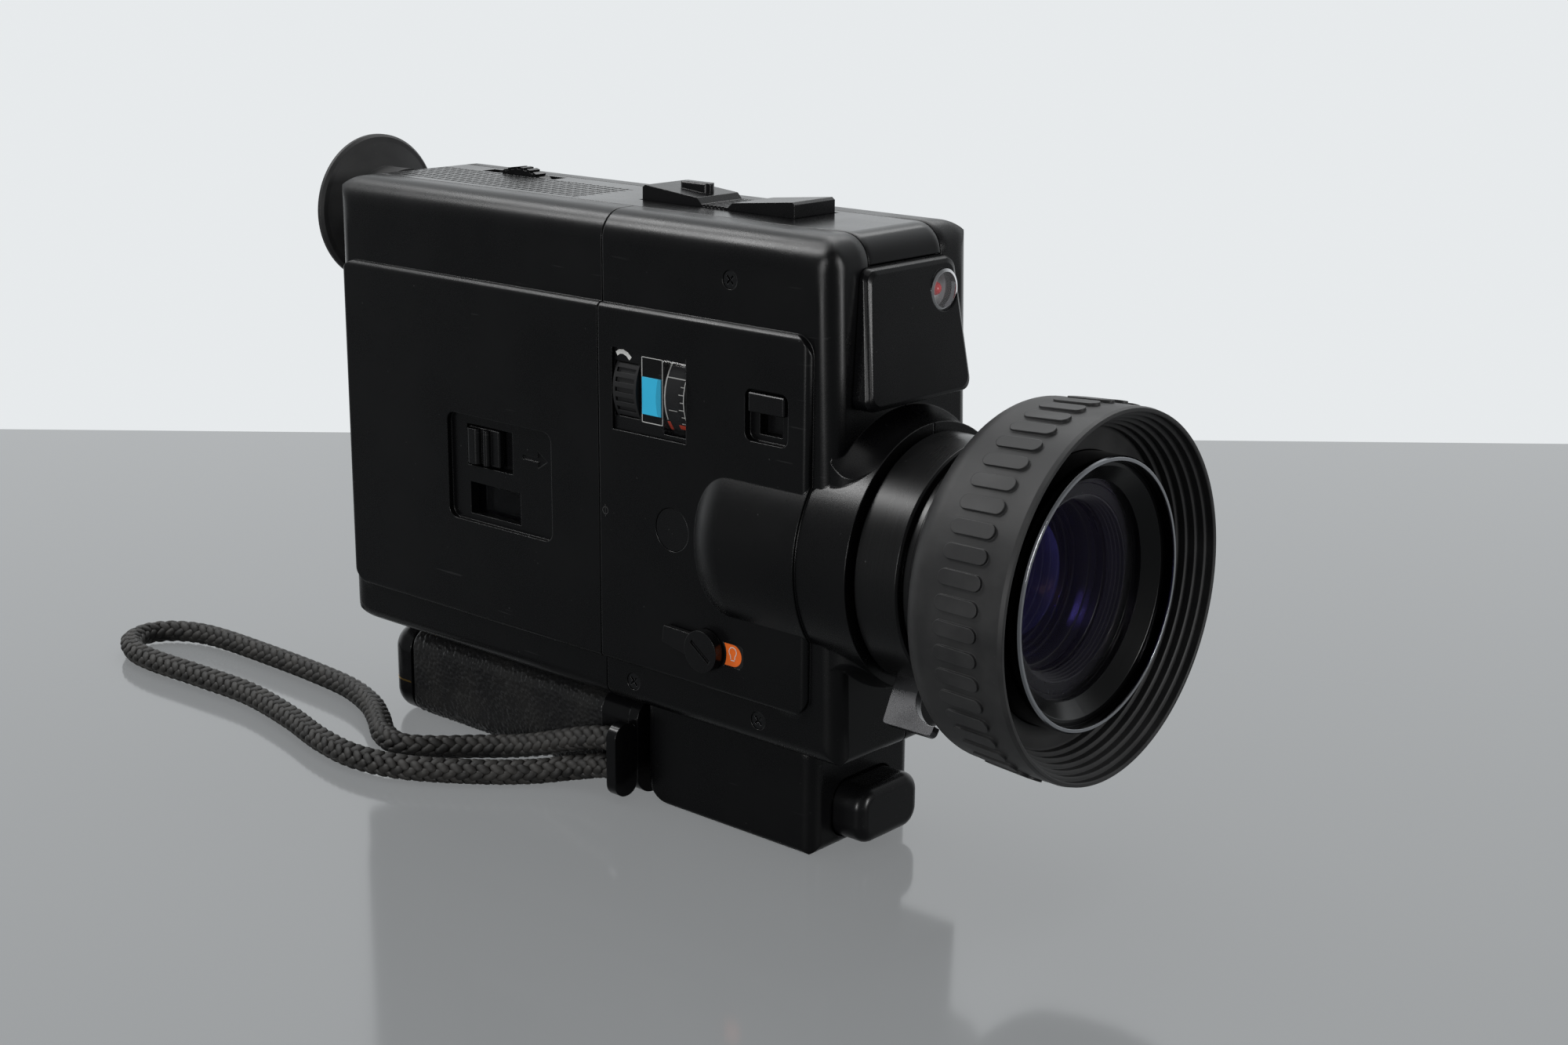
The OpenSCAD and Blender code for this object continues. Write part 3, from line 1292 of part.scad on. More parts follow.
module drive_motor() {
    x0 = bulkhead_x0 - motor_length;
    color(metal) difference() {
        union() {
            rod_x(x0, bulkhead_x0 - 0.02, motor_r, pinion_y, pinion_z);
            rod_x(x0 - 1, x0 + 1, 3, pinion_y, pinion_z);
        }
        rod_x(x0 - 2, x0 + 5.5, 1 + pin_clear, pinion_y, pinion_z);
    }
}

module take_up_spindle() {
    color(dark) {
        rod_y(wall_y0 - 1, wall_y1 + 3, 3, spindle_x, lens_z);
        rod_y(wall_y0 - 8, wall_y0 - move_gap, 4, spindle_x, lens_z);
        for (a = [0, 120, 240]) translate([spindle_x, 0, lens_z]) rotate([0, a, 0])
            block([-0.6, wall_y0 - 7.5, 3], [0.6, wall_y0 - 1.5, 5.2]);
    }
}

// Film door

module film_door() {
    color(black) difference() {
        union() {
            intersection() {
                difference() {
                    union() {
                        body_form(0);
                        panel_form();
                    }
                    body_form(wall);
                }
                door_zone(-seam / 2);
            }
            intersection() {
                knuckle(knuckle_z[1] + move_gap, knuckle_z[2] - move_gap);
                block([hinge_x - 5, hinge_y - 5, foot_z], [wall - body_rear - 0.2, hinge_y + 5, top_z]);
            }
        }
        strip_zone(seam);
        knuckle(knuckle_z[0] - move_gap, knuckle_z[1] + move_gap, move_gap);
        knuckle(knuckle_z[2] - move_gap, knuckle_z[3] + move_gap, move_gap);
        door_pin_hole();
        along_y(-panel_y - 1, 1.2 - panel_y) rounded_box_outline(latch_x0, latch_x1, latch_z0,
            latch_z1, 2.2);
        block([knob_x0 - move_gap, -panel_y - 1, knob_z0 - move_gap],
            [knob_x0 + knob_w + latch_travel + move_gap, 2 - inner_y, knob_z1 + move_gap]);
        block([knob_x0 + 0.4, -panel_y - 1, peep_z0], [knob_x0 + 15.9, 2 - inner_y, peep_z1]);
        translate([latch_x1 - 6.4, 1.2 - panel_y, (knob_z0 + knob_z1) / 2]) arrow_cut();
    }
}

// A plain arrow, pressed 0.3 into the floor of the latch recess
module arrow_cut()
    along_y(-1, 0.3) {
        polygon([[1.2, -1.8], [4, 0], [1.2, 1.8]]);
        translate([-3.4, -0.45]) square([4.8, 0.9]);
    }

module door_window()
    color(clear) block([knob_x0 - 0.8, 0.02 - inner_y, peep_z0 - 1],
        [knob_x0 + 17.1, 1 - inner_y, peep_z1 + 1]);

module cartridge_spring() {
    x0 = -body_rear + 12;
    color(metal) along_z(lens_z - 5, lens_z + 5) {
        translate([x0, 0.02 - inner_y]) square([6, 0.5]);
        polygon([[x0 + 5.9, 0.02 - inner_y], [x0 + 12, 1.9 - inner_y], [x0 + 18, 0.8 - inner_y],
            [x0 + 18, 1.3 - inner_y],
            [x0 + 12, 2.4 - inner_y], [x0 + 5.9, 0.52 - inner_y]]);
    }
}

module door_latch() {
    color(black) {
        soft_box([knob_x0, 1.4 - panel_y, knob_z0], [knob_x0 + knob_w, 3 - panel_y, knob_z1],
            0.6, 0.5, 0.6);
        along_z(knob_z0 + 0.3, knob_z1 - 0.3) {
            rounded_box_outline(knob_x0 + 0.3, knob_x0 + 3.9, 0.1 - panel_y, 2.9 - panel_y, 1.2);
            rounded_box_outline(knob_x0 + 5.2, knob_x0 + 6.9, 0.3 - panel_y, 2.9 - panel_y, 0.75);
        }
        block([knob_x0 + 0.8, 2.5 - panel_y, knob_z0 + 0.6], [knob_x0 + knob_w - 0.8,
            move_gap + 0.5 - inner_y,
            knob_z1 - 0.6]);
        block([knob_x0 - 4, move_gap - inner_y, knob_z0 - 2], [knob_x0 + 18.5, move_gap + 1 - inner_y,
            knob_z1 + 2]);
    }
}

module door_hinge_pin()
    color(metal) translate([hinge_x, hinge_y, knuckle_z[0] + 0.2])
        cylinder(h = knuckle_z[3] - knuckle_z[0] - 0.4, r = door_pin_r);

// Folding grip

module grip_section(inset)
    rounded_box_outline(inset - base_width / 2, base_width / 2 - inset, inset, grip_height - inset,
        grip_edge_r - inset);

module grip_shell() {
    color(black) difference() {
        union() {
            along_x(cap_x1 + seat_gap, cover_x1 + 1) grip_section(cover_thickness + 0.05);
            along_x(cover_x1, grip_x1) grip_section(0);
            along_x(grip_x1 - 2.6, grip_x1)
                rounded_box_outline(-base_width / 2 - 0.5, base_width / 2 + 0.5, 0, grip_height + 0.5,
                    grip_edge_r);
            along_y(-tongue_w / 2, tongue_w / 2) {
                translate([grip_x1 - 1, grip_hinge_z - tongue_r]) square([hinge_x_grip - grip_x1 + 1,
                    tongue_r * 2]);
                translate([hinge_x_grip, grip_hinge_z]) circle(tongue_r);
            }
        }
        for (side = [-1, 1])
            rod_x(cap_x1 - 1, contact_x + 1.2, cell_d / 2 + 0.1, side * cell_y, cell_z);
        block([cap_x1 - 1, -cell_y, cell_z - 4], [contact_x + 1.2, cell_y, cell_z + 4]);
        rod_y(-base_width, base_width, hinge_pin_r + pin_clear, hinge_x_grip, grip_hinge_z);
    }
}

module grip_cover()
    color(dark) difference() {
        along_x(cap_x1 + 0.3, cover_x1 - 0.1) grip_section(0);
        along_x(cap_x1 - 1, cover_x1 + 1) grip_section(cover_thickness);
    }

module battery_cells() {
    color([0.2, 0.35, 0.55]) for (side = [-1, 1]) {
        rod_x(cell_x0, cell_x0 + cell_length - 1, cell_d / 2, side * cell_y, cell_z);
        rod_x(side > 0 ? cell_x0 + cell_length - 2 : cell_x0 - 0.6,
            side > 0 ? cell_x0 + cell_length : cell_x0 + 1, 2.6,
            side * cell_y, cell_z);
    }
}

module battery_contacts()
    color(brass) block([contact_x, -cell_y - 3, cell_z - 3.5], [contact_x + 0.6, cell_y + 3, cell_z + 3.5]);

module strap_anchor() {
    color(black) difference() {
        along_x(grip_x1 - 2.6, grip_x1)
            rounded_box_outline(-anchor_y - 3.6, -base_width / 2 - 0.5, 1.2, 17, 3);
        for (z = [strap_route[0][2], strap_route[len(strap_route) - 1][2]])
            rod_x(grip_x1 - 5, grip_x1 - 0.5, strap_d / 2 + seat_gap, strap_route[0][1], z);
    }
}

module wrist_strap()
    color([0.14, 0.13, 0.12]) tube(strap_route, strap_d / 2, 10, [0, 0, 1]);

module battery_cap() {
    color(black) difference() {
        intersection() {
            translate([grip_x0, 0, 0]) rotate([90, 0, 90])
                pillow(box_points(-base_width / 2, base_width / 2, 0, grip_height),
                    alike(cap_corner_r), cap_corner_r - 0.6, 40);
            block([grip_x0 - 1, -base_width, -1], [cap_x1 - 0.3, base_width, grip_height + 1]);
        }
        block([cap_x1 - 1.5, -cell_y - 5, cell_z - 5], [cap_x1 + 1, cell_y + 5, cell_z + 5]);
    }
}

main_chassis();
left_cover();
right_cover();
top_cover();
front_fascia();
lamp_reflector();
lamp_diode();
lamp_lens();
base_block();
tripod_bush();
cover_screws();
access_plug();
exposure_frame();
mode_window();
exposure_window();
filter_inlay();
rocker_seat();
eyepiece_tube();
eyepiece_lens();
eyecup();
lens_barrel();
rear_lens_group();
film_gate();
drive_motor();
grip_hinge_pin();
door_hinge_pin();
counter_window();
remote_socket();
film_door();
door_window();
cartridge_spring();
door_latch();
grip_shell();
grip_cover();
battery_cells();
battery_contacts();
strap_anchor();
wrist_strap();
battery_cap();
release_button();
release_spring();
zoom_rocker();
zoom_ring();
zoom_lever();
zoom_cell();
focus_ring();
lens_hood();
name_ring();
bright_ring();
front_element();
exposure_wheel();
mode_switch();
filter_lever();
diopter_wheel();
take_up_spindle();
shutter_disc();
motor_pinion();
pulldown_claw();
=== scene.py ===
# %% [markdown]
# # Dressing a cine camera
#
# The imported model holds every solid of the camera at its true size, in metres. This lesson keeps those
# solids as a fixed frame, gives each one its finish, and adds the pieces that a solid modeller can't draw
# well: the braided wrist strap, the pebbled grip cover, the inside of the lens and the printing.

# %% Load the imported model
import json
import math

import bmesh
import bpy
import numpy as np
from mathutils import Matrix, Vector


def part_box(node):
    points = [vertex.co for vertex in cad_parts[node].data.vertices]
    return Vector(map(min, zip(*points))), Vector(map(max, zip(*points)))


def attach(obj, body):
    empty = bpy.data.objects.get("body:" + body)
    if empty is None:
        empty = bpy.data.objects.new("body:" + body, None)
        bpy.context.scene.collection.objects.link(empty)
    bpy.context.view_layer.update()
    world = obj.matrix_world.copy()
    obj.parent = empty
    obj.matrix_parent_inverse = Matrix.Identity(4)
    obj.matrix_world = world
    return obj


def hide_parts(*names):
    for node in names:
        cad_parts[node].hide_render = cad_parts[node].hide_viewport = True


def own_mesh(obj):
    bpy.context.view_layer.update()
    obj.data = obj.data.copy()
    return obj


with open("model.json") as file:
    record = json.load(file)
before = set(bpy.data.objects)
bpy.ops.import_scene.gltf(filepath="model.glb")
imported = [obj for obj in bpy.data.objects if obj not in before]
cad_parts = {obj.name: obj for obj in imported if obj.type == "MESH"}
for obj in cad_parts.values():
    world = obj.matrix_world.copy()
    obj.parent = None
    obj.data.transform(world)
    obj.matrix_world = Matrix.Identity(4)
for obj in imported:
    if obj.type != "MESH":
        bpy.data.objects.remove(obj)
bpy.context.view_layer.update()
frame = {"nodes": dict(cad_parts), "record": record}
nodes = frame["nodes"]
MM = 0.001

# %% [markdown]
# ## The viewpoint
#
# The camera stands to the right of the lens and a little above it, as a person does who looks at the
# object on a table. Azimuth 0 would look along +Y. A slight roll keeps the horizon as it was taken.

# %% Camera at the photograph's viewpoint
VIEW_FROM = Vector((0.2865, -0.3289, 0.1807))
AZIMUTH = math.radians(40.90)
ELEVATION = math.radians(15.38)
ROLL = math.radians(0.54)
FOCAL_MM = 51.9
SENSOR_MM = 36.0

backward = Vector((math.sin(AZIMUTH) * math.cos(ELEVATION), -math.cos(AZIMUTH) * math.cos(ELEVATION),
                   math.sin(ELEVATION)))
level = Vector((0, 0, 1)).cross(backward).normalized()
upward = backward.cross(level)
rightward = level * math.cos(ROLL) + upward * math.sin(ROLL)
upward = upward * math.cos(ROLL) - level * math.sin(ROLL)
camera_data = bpy.data.cameras.new("viewpoint")
camera_data.lens = FOCAL_MM
camera_data.sensor_width = SENSOR_MM
camera_data.clip_start = 0.01
camera = bpy.data.objects.new("viewpoint", camera_data)
bpy.context.scene.collection.objects.link(camera)
turned_to = Matrix((rightward, upward, backward)).transposed().to_4x4()
camera.matrix_world = Matrix.Translation(VIEW_FROM) @ turned_to
bpy.context.scene.camera = camera
bpy.context.scene.view_settings.view_transform = "Standard"
print("camera stands", round(VIEW_FROM.length, 3), "m from the tripod socket")

# %% [markdown]
# ## Writing node trees as sums
#
# A material is a graph of small nodes, and so is a Geometry Nodes recipe. Reading a graph is easier as a line
# of maths, so a `Value` wraps one socket and answers to +, -, * and /. A `Graph` makes any other node from
# its type, its settings and the values or links of its sockets.


# %% Small tools for node trees
class Value:
    """A number on a socket, for sums in plain Python."""

    def __init__(self, graph, socket):
        self.graph = graph
        self.socket = socket

    def sum(self, operation, other=0.0, swapped=False):
        pair = (other, self) if swapped else (self, other)
        made = self.graph.node("ShaderNodeMath", {"operation": operation}, {0: pair[0], 1: pair[1]})
        return Value(self.graph, made.outputs[0])

    def __add__(self, other):
        return self.sum("ADD", other)

    def __sub__(self, other):
        return self.sum("SUBTRACT", other)

    def __mul__(self, other):
        return self.sum("MULTIPLY", other)

    def __truediv__(self, other):
        return self.sum("DIVIDE", other)

    def __rsub__(self, other):
        return self.sum("SUBTRACT", other, swapped=True)

    def __rtruediv__(self, other):
        return self.sum("DIVIDE", other, swapped=True)

    __radd__ = __add__
    __rmul__ = __mul__

    def between(self, low, high):
        """0 up to low, 1 from high, and smooth in between."""
        made = self.graph.node("ShaderNodeMapRange", {"interpolation_type": "SMOOTHSTEP"},
                               {"Value": self, "From Min": low, "From Max": high})
        return Value(self.graph, made.outputs[0])


class Graph:
    """A tree of nodes, made one node at a time."""

    def __init__(self, tree):
        self.tree = tree
        self.tree.nodes.clear()

    def set(self, node, sockets):
        for key, given in sockets.items():
            socket = node.inputs[key]
            given = given.socket if isinstance(given, Value) else given
            if isinstance(given, bpy.types.NodeSocket):
                self.tree.links.new(given, socket)
            else:
                socket.default_value = given

    def node(self, kind, settings, sockets):
        made = self.tree.nodes.new(kind)
        for key, given in settings.items():
            setattr(made, key, given)
        self.set(made, sockets)
        return made

    def vector(self, operation, first, second=(0, 0, 0), output=0):
        made = self.node("ShaderNodeVectorMath", {"operation": operation}, {0: first, 1: second})
        return made.outputs[output]


# %% [markdown]
# ## A finish is a graph that ends in one shader
#
# Everything that varies over a surface, such as grain, dust or wear, comes from noise in object coordinates,
# so that it keeps one scale on every piece. What is the same all over is set on the shader itself. A Bevel
# node rounds the look of the edges, which are too sharp in the solids, and of the body's corners still more.


# %% Materials
BEVEL_SAMPLES = 10
CORNER_EDGE_MM = 3.2
SPECK_CORE = 0.03


class Finish(Graph):
    """One material with a Principled shader."""

    def __init__(self, name, colour=(0.5, 0.5, 0.5), roughness=0.5, **sockets):
        self.material = bpy.data.materials.new(name)
        self.material.use_nodes = True
        super().__init__(self.material.node_tree)
        self.shader = self.node("ShaderNodeBsdfPrincipled", {}, {
            "Base Color": (*colour, 1.0), "Roughness": roughness, **sockets})
        self.node("ShaderNodeOutputMaterial", {}, {"Surface": self.shader.outputs[0]})
        self.material.diffuse_color = (*colour, 1.0)

    def place(self, scale=(1, 1, 1), turn=(0, 0, 0)):
        """Object coordinates in millimetres, stretched by scale."""
        where = self.node("ShaderNodeTexCoord", {}, {})
        stretch = tuple(1000.0 * s for s in scale)
        made = self.node("ShaderNodeMapping", {}, {"Vector": where.outputs["Object"], "Scale": stretch,
                                                   "Rotation": turn})
        return made.outputs[0]

    def noise(self, per_mm, detail=2.0, stretch=(1, 1, 1), turn=(0, 0, 0)):
        """Noise from 0 to 1 with so many waves in a millimetre."""
        made = self.node("ShaderNodeTexNoise", {}, {"Vector": self.place(stretch, turn), "Scale": per_mm,
                                                    "Detail": detail, "Roughness": 0.55})
        return Value(self, made.outputs[0])

    def dust(self, per_mm, speck, patch_per_mm, bare, full):
        """Specks that gather in patches: none where the noise is below bare, most from full."""
        made = self.node("ShaderNodeTexVoronoi", {"feature": "F1"}, {"Vector": self.place(), "Scale": per_mm})
        patches = self.noise(patch_per_mm, 1.0).between(bare, full)
        return Value(self, made.outputs[0]).between(speck, SPECK_CORE) * patches

    def tint(self, share, low, high):
        """A colour that goes from low to high with share."""
        made = self.node("ShaderNodeMix", {"data_type": "RGBA"}, {0: share, 6: (*low, 1.0), 7: (*high, 1.0)})
        return made.outputs[2]

    def bevel(self, edge_mm):
        """The facing of a surface whose edges are rounded."""
        made = self.node("ShaderNodeBevel", {"samples": BEVEL_SAMPLES}, {"Radius": edge_mm * MM})
        return made.outputs[0]

    def along(self, way):
        """How far a point lies along a direction, in millimetres."""
        return Value(self, self.vector("DOT_PRODUCT", self.place(), way, "Value"))

    def away(self, point, keep=(1, 1, 1)):
        """Distance from a point in millimetres, with each axis weighed by keep."""
        apart = self.vector("SUBTRACT", self.place(), point)
        return Value(self, self.vector("LENGTH", self.vector("MULTIPLY", apart, keep), output="Value"))

    def near_corners(self, middle, half, reach):
        """1 near the eight corners of a box that is given in millimetres, 0 further away than reach."""
        folded = self.vector("ABSOLUTE", self.vector("SUBTRACT", self.place(), middle))
        return Value(self, self.vector("DISTANCE", folded, half, "Value")).between(reach, reach * 0.6)

    def relief(self, height, depth_mm, strength=1.0, edge_mm=0.0, corners=None):
        """Small relief of the surface, on edges that are rounded by edge_mm, and more so at the corners."""
        sockets = {"Height": height, "Distance": depth_mm * MM, "Strength": strength}
        if corners:
            made = self.node("ShaderNodeMix", {"data_type": "VECTOR"}, {
                0: self.near_corners(*corners), 4: self.bevel(edge_mm), 5: self.bevel(CORNER_EDGE_MM)})
            sockets["Normal"] = made.outputs[1]
        elif edge_mm > 0:
            sockets["Normal"] = self.bevel(edge_mm)
        made = self.node("ShaderNodeBump", {}, sockets)
        self.set(self.shader, {"Normal": made.outputs[0]})

    def paint(self, share, colour):
        """Lay a colour over the finish, where share is 1."""
        below = self.shader.inputs["Base Color"].links[0].from_socket
        made = self.node("ShaderNodeMix", {"data_type": "RGBA"}, {0: share, 6: below, 7: (*colour, 1.0)})
        return self.use(Base_Color=made.outputs[2])

    def use(self, **sockets):
        """Set sockets of the shader by name, with _ for a space."""
        self.set(self.shader, {key.replace("_", " "): given for key, given in sockets.items()})
        return self


def tell(title, *finishes):
    """Print the names of finishes."""
    print(title, ", ".join(finish.material.name for finish in finishes))


# %% [markdown]
# ## A recipe is a graph that makes a mesh
#
# Geometry Nodes suit what repeats or follows a path. The sizes are named inputs of the tree, so that they
# can be changed in one place. The result is turned into a plain mesh at once, because an export leaves
# instances and live modifiers behind.


# %% Geometry Nodes recipes
class Recipe(Graph):
    """One Geometry Nodes tree with named sizes."""

    def __init__(self, name, **sizes):
        super().__init__(bpy.data.node_groups.new(name, "GeometryNodeTree"))
        sides = self.tree.interface
        sides.new_socket("Geometry", in_out="INPUT", socket_type="NodeSocketGeometry")
        sides.new_socket("Geometry", in_out="OUTPUT", socket_type="NodeSocketGeometry")
        self.given = {}
        for key, size in sizes.items():
            kind = "NodeSocketInt" if isinstance(size, int) else "NodeSocketFloat"
            socket = sides.new_socket(key, in_out="INPUT", socket_type=kind)
            self.given[socket.identifier] = size
        self.entry = self.node("NodeGroupInput", {}, {})
        self.source = self.entry.outputs["Geometry"]

    def size(self, key):
        return Value(self, self.entry.outputs[key])

    def cross(self, first, second):
        return self.vector("CROSS_PRODUCT", first, second)

    def scaled(self, vector, by):
        made = self.node("ShaderNodeVectorMath", {"operation": "SCALE"}, {0: vector, "Scale": by})
        return made.outputs[0]

    def added(self, *vectors):
        total = vectors[0]
        for vector in vectors[1:]:
            total = self.vector("ADD", total, vector)
        return total

    def store(self, geometry, name, value, data_type):
        made = self.node("GeometryNodeStoreNamedAttribute", {"data_type": data_type, "domain": "POINT"},
                         {"Geometry": geometry, "Name": name, "Value": value})
        return made.outputs[0]

    def bake(self, piece, geometry, finish):
        """Finish the tree, run it on the piece and keep the result as a plain mesh."""
        plain = self.node("GeometryNodeRealizeInstances", {}, {"Geometry": geometry})
        dressed = self.node("GeometryNodeSetMaterial", {}, {"Geometry": plain.outputs[0],
                                                            "Material": finish.material})
        self.node("NodeGroupOutput", {}, {"Geometry": dressed.outputs[0]})
        modifier = piece.modifiers.new(self.tree.name, "NODES")
        modifier.node_group = self.tree
        for identifier, size in self.given.items():
            modifier[identifier] = size
        ready = piece.evaluated_get(bpy.context.evaluated_depsgraph_get())
        mesh = bpy.data.meshes.new_from_object(ready)
        piece.modifiers.remove(modifier)
        piece.data = mesh
        mesh.shade_smooth()
        return piece


def add_mesh(name, points, faces, edges=()):
    """A new object at the origin, with its place in its mesh."""
    mesh = bpy.data.meshes.new(name)
    mesh.from_pydata([tuple(p) for p in points], [tuple(e) for e in edges], [tuple(f) for f in faces])
    mesh.update()
    made = bpy.data.objects.new(name, mesh)
    bpy.context.scene.collection.objects.link(made)
    return made


# %% [markdown]
# ## Plastics
#
# The housing is moulded in black ABS with a fine sparked texture, which breaks the highlights into a soft
# sheen. Handling leaves small bright specks, faint scratches and a greasy unevenness of the gloss. All of it
# is drawn in object coordinates, so that it has one scale on every cover.


# %% Black plastics
# Middle of the body, the place of its corners from there, and how far their rounding reaches
BODY_CORNERS = ((-42.5, 0.0, 72.4), (66.5, 16.5, 46.0), 10.0)


def plastic(name, colour, roughness, grain_mm, grain_depth, edge_mm, specks=0.35, shine=0.42,
            corners=None):
    """Moulded plastic with a sparked grain, handling marks and rounded edges."""
    finish = Finish(name, colour, roughness, **{"IOR": 1.46, "Specular IOR Level": shine})
    grain = finish.noise(1.0 / grain_mm, 3.0)
    cloud = finish.noise(0.05, 3.0)
    dust = finish.dust(0.45, 0.085, 0.16, 0.55, 0.66)
    scratch = finish.noise(0.5, 2.0, (0.11, 1.0, 1.9), (0.0, 0.5, 0.2)).between(0.72, 0.75)
    handled = finish.noise(0.03, 1.0).between(0.5, 0.62)
    marks = (dust * specks + scratch * 0.12 * handled).sum("MINIMUM", 1.0)
    worn = tuple(min(1.0, c * 3.0 + 0.10) for c in colour)
    finish.use(Base_Color=finish.tint(marks, colour, worn))
    finish.use(Roughness=(cloud - 0.5) * 0.2 + roughness + (grain - 0.5) * 0.12)
    finish.relief(grain, grain_depth, 0.6, edge_mm, corners)
    return finish


housing = plastic("housing", (0.0022, 0.0022, 0.0026), 0.29, 0.32, 0.006, 0.35, corners=BODY_CORNERS)
fascia = plastic("fascia", (0.0026, 0.0026, 0.0031), 0.27, 0.30, 0.010, 0.3, specks=0.2, shine=0.3)
lid = plastic("lid", (0.0030, 0.0030, 0.0034), 0.20, 0.32, 0.003, 0.3, corners=BODY_CORNERS)
grip_plastic = plastic("grip_plastic", (0.0040, 0.0040, 0.0044), 0.20, 1.4, 0.012, 0.3, specks=0.2)
control = plastic("control", (0.0045, 0.0045, 0.0050), 0.28, 0.35, 0.006, 0.2, specks=0.25)
chassis = plastic("chassis", (0.013, 0.013, 0.0138), 0.62, 0.4, 0.03, 0.2, specks=0.15)
tell("plastics:", housing, fascia, lid, grip_plastic, control, chassis)

# %% [markdown]
# ## Rubber and leatherette
#
# The hood and the eyecup are soft rubber: nearly no gloss, a grey bloom and dust that stays in the hollows.
# The grip's cover is an embossed leatherette. Its pebbles are real relief on the mesh, so the material
# only adds the fine pores and the oily variation of the gloss.


# %% Rubber, leatherette and braid
def rubber_finish():
    """Matt rubber with a grey bloom and dust."""
    finish = Finish("rubber", (0.022, 0.022, 0.0225), 0.55, **{"IOR": 1.42})
    bloom = finish.noise(0.09, 4.0).between(0.35, 0.75)
    dust = finish.dust(0.6, 0.10, 0.2, 0.52, 0.64)
    grey = (bloom * 0.28 + dust * 0.5).sum("MINIMUM", 1.0)
    finish.use(Base_Color=finish.tint(grey, (0.019, 0.019, 0.0195), (0.070, 0.070, 0.069)))
    finish.use(Roughness=bloom * 0.12 + 0.46)
    finish.relief(finish.noise(3.2, 3.0), 0.02, 0.5, 0.25)
    return finish


def leather_finish():
    """Leatherette with fine pores, paler where hands have worn it."""
    finish = Finish("grained_cover", (0.011, 0.011, 0.0115), 0.36, **{"IOR": 1.48})
    patch = finish.noise(0.11, 3.0)
    worn = patch.between(0.4, 0.75)
    finish.use(Base_Color=finish.tint(worn, (0.013, 0.013, 0.0134), (0.020, 0.0196, 0.019)))
    finish.use(Roughness=(patch - 0.5) * 0.10 + 0.26)
    finish.relief(finish.noise(5.0, 2.0), 0.02, 0.35)
    return finish


def braid_finish():
    """Nylon filaments that run along each stitch of the braid."""
    finish = Finish("braid", (0.02, 0.019, 0.018), 0.55, **{"IOR": 1.5})
    where = finish.node("ShaderNodeAttribute", {"attribute_name": "stitch_at"}, {})
    tone = finish.node("ShaderNodeAttribute", {"attribute_name": "stitch_tone"}, {})
    wave = finish.node("ShaderNodeTexWave", {"wave_type": "BANDS", "bands_direction": "Y"}, {
        "Vector": where.outputs["Vector"], "Scale": 1.6, "Distortion": 1.5, "Detail": 1.0})
    filament = Value(finish, wave.outputs[1])
    share = Value(finish, tone.outputs["Fac"]) * 0.55 + filament * 0.35
    finish.use(Base_Color=finish.tint(share, (0.005, 0.0048, 0.0045), (0.046, 0.043, 0.039)))
    finish.use(Roughness=filament * 0.15 + 0.48)
    finish.relief(filament, 0.05, 0.5)
    return finish


rubber = rubber_finish()
leather = leather_finish()
braid = braid_finish()
tell("soft finishes:", rubber, leather, braid)

# %% [markdown]
# ## Metals, glass and colours
#
# The zoom and focus rings are black anodised metal, turned on a lathe, so faint rings run round the lens
# axis. Real glass would bend every ray in Cycles, which is slow and noisy inside a lens. Here a pane is a
# dark gloss with a small Alpha, and a coated glass is a weak mirror in the colour of its coating.


# %% Metals
def metal(name, colour, roughness, grain=(1, 1, 1), depth=0.004, shift=0.1, edge_mm=0.15):
    """Bare metal with a brushed grain. A small number in grain draws the streaks out along that axis."""
    finish = Finish(name, colour, roughness, **{"Metallic": 1.0})
    streak = finish.noise(4.0, 2.0, grain)
    cloud = finish.noise(0.15, 2.0)
    finish.use(Roughness=(streak - 0.5) * shift + (cloud - 0.5) * shift + roughness)
    darker = tuple(c * 0.78 for c in colour)
    finish.use(Base_Color=finish.tint(cloud, darker, colour))
    finish.relief(streak, depth, 0.5, edge_mm)
    return finish


def anodised(name, colour, roughness):
    """Black lens metal with the marks of turning."""
    finish = Finish(name, colour, roughness, **{"IOR": 1.5})
    turning = finish.noise(3.0, 2.0, (1.0, 0.02, 0.02))
    cloud = finish.noise(0.1, 3.0)
    dust = finish.dust(0.5, 0.09, 0.2, 0.54, 0.64)
    finish.use(Base_Color=finish.tint(dust * 0.35, colour, (0.2, 0.2, 0.2)))
    finish.use(Roughness=(turning - 0.5) * 0.05 + (cloud - 0.5) * 0.05 + roughness)
    finish.relief(turning, 0.002, 0.5, 0.2)
    return finish


ring_chrome = metal("ring_chrome", (0.58, 0.59, 0.62), 0.12, depth=0.002, shift=0.06)
reflector = metal("reflector", (0.88, 0.88, 0.90), 0.30, depth=0.001, shift=0.04)
lever_metal = metal("lever_metal", (0.16, 0.16, 0.165), 0.28, (1, 1, 0.1), 0.003)
steel = metal("steel", (0.46, 0.47, 0.48), 0.30, (0.1, 1, 1), 0.006)
brass = metal("brass", (0.56, 0.40, 0.15), 0.28, (0.1, 1, 1), 0.005)
lens_black = anodised("lens_black", (0.0045, 0.0045, 0.0048), 0.28)
name_black = anodised("name_black", (0.0015, 0.0015, 0.0016), 0.22)
shutter_black = anodised("shutter_black", (0.010, 0.010, 0.010), 0.58)
screw_black = metal("screw_black", (0.075, 0.075, 0.078), 0.28, depth=0.003)

# Only the front edge of the bright ring is bare: the thread inside it is blackened
thread = ring_chrome.along((1, 0, 0)).between(76.45, 76.3)
ring_chrome.paint(thread, (0.012, 0.012, 0.013))
tell("metals:", ring_chrome, reflector, lever_metal, steel, brass, lens_black, name_black, shutter_black,
     screw_black)


# %% Glass and coloured plastics
PANE_IOR = 2.2


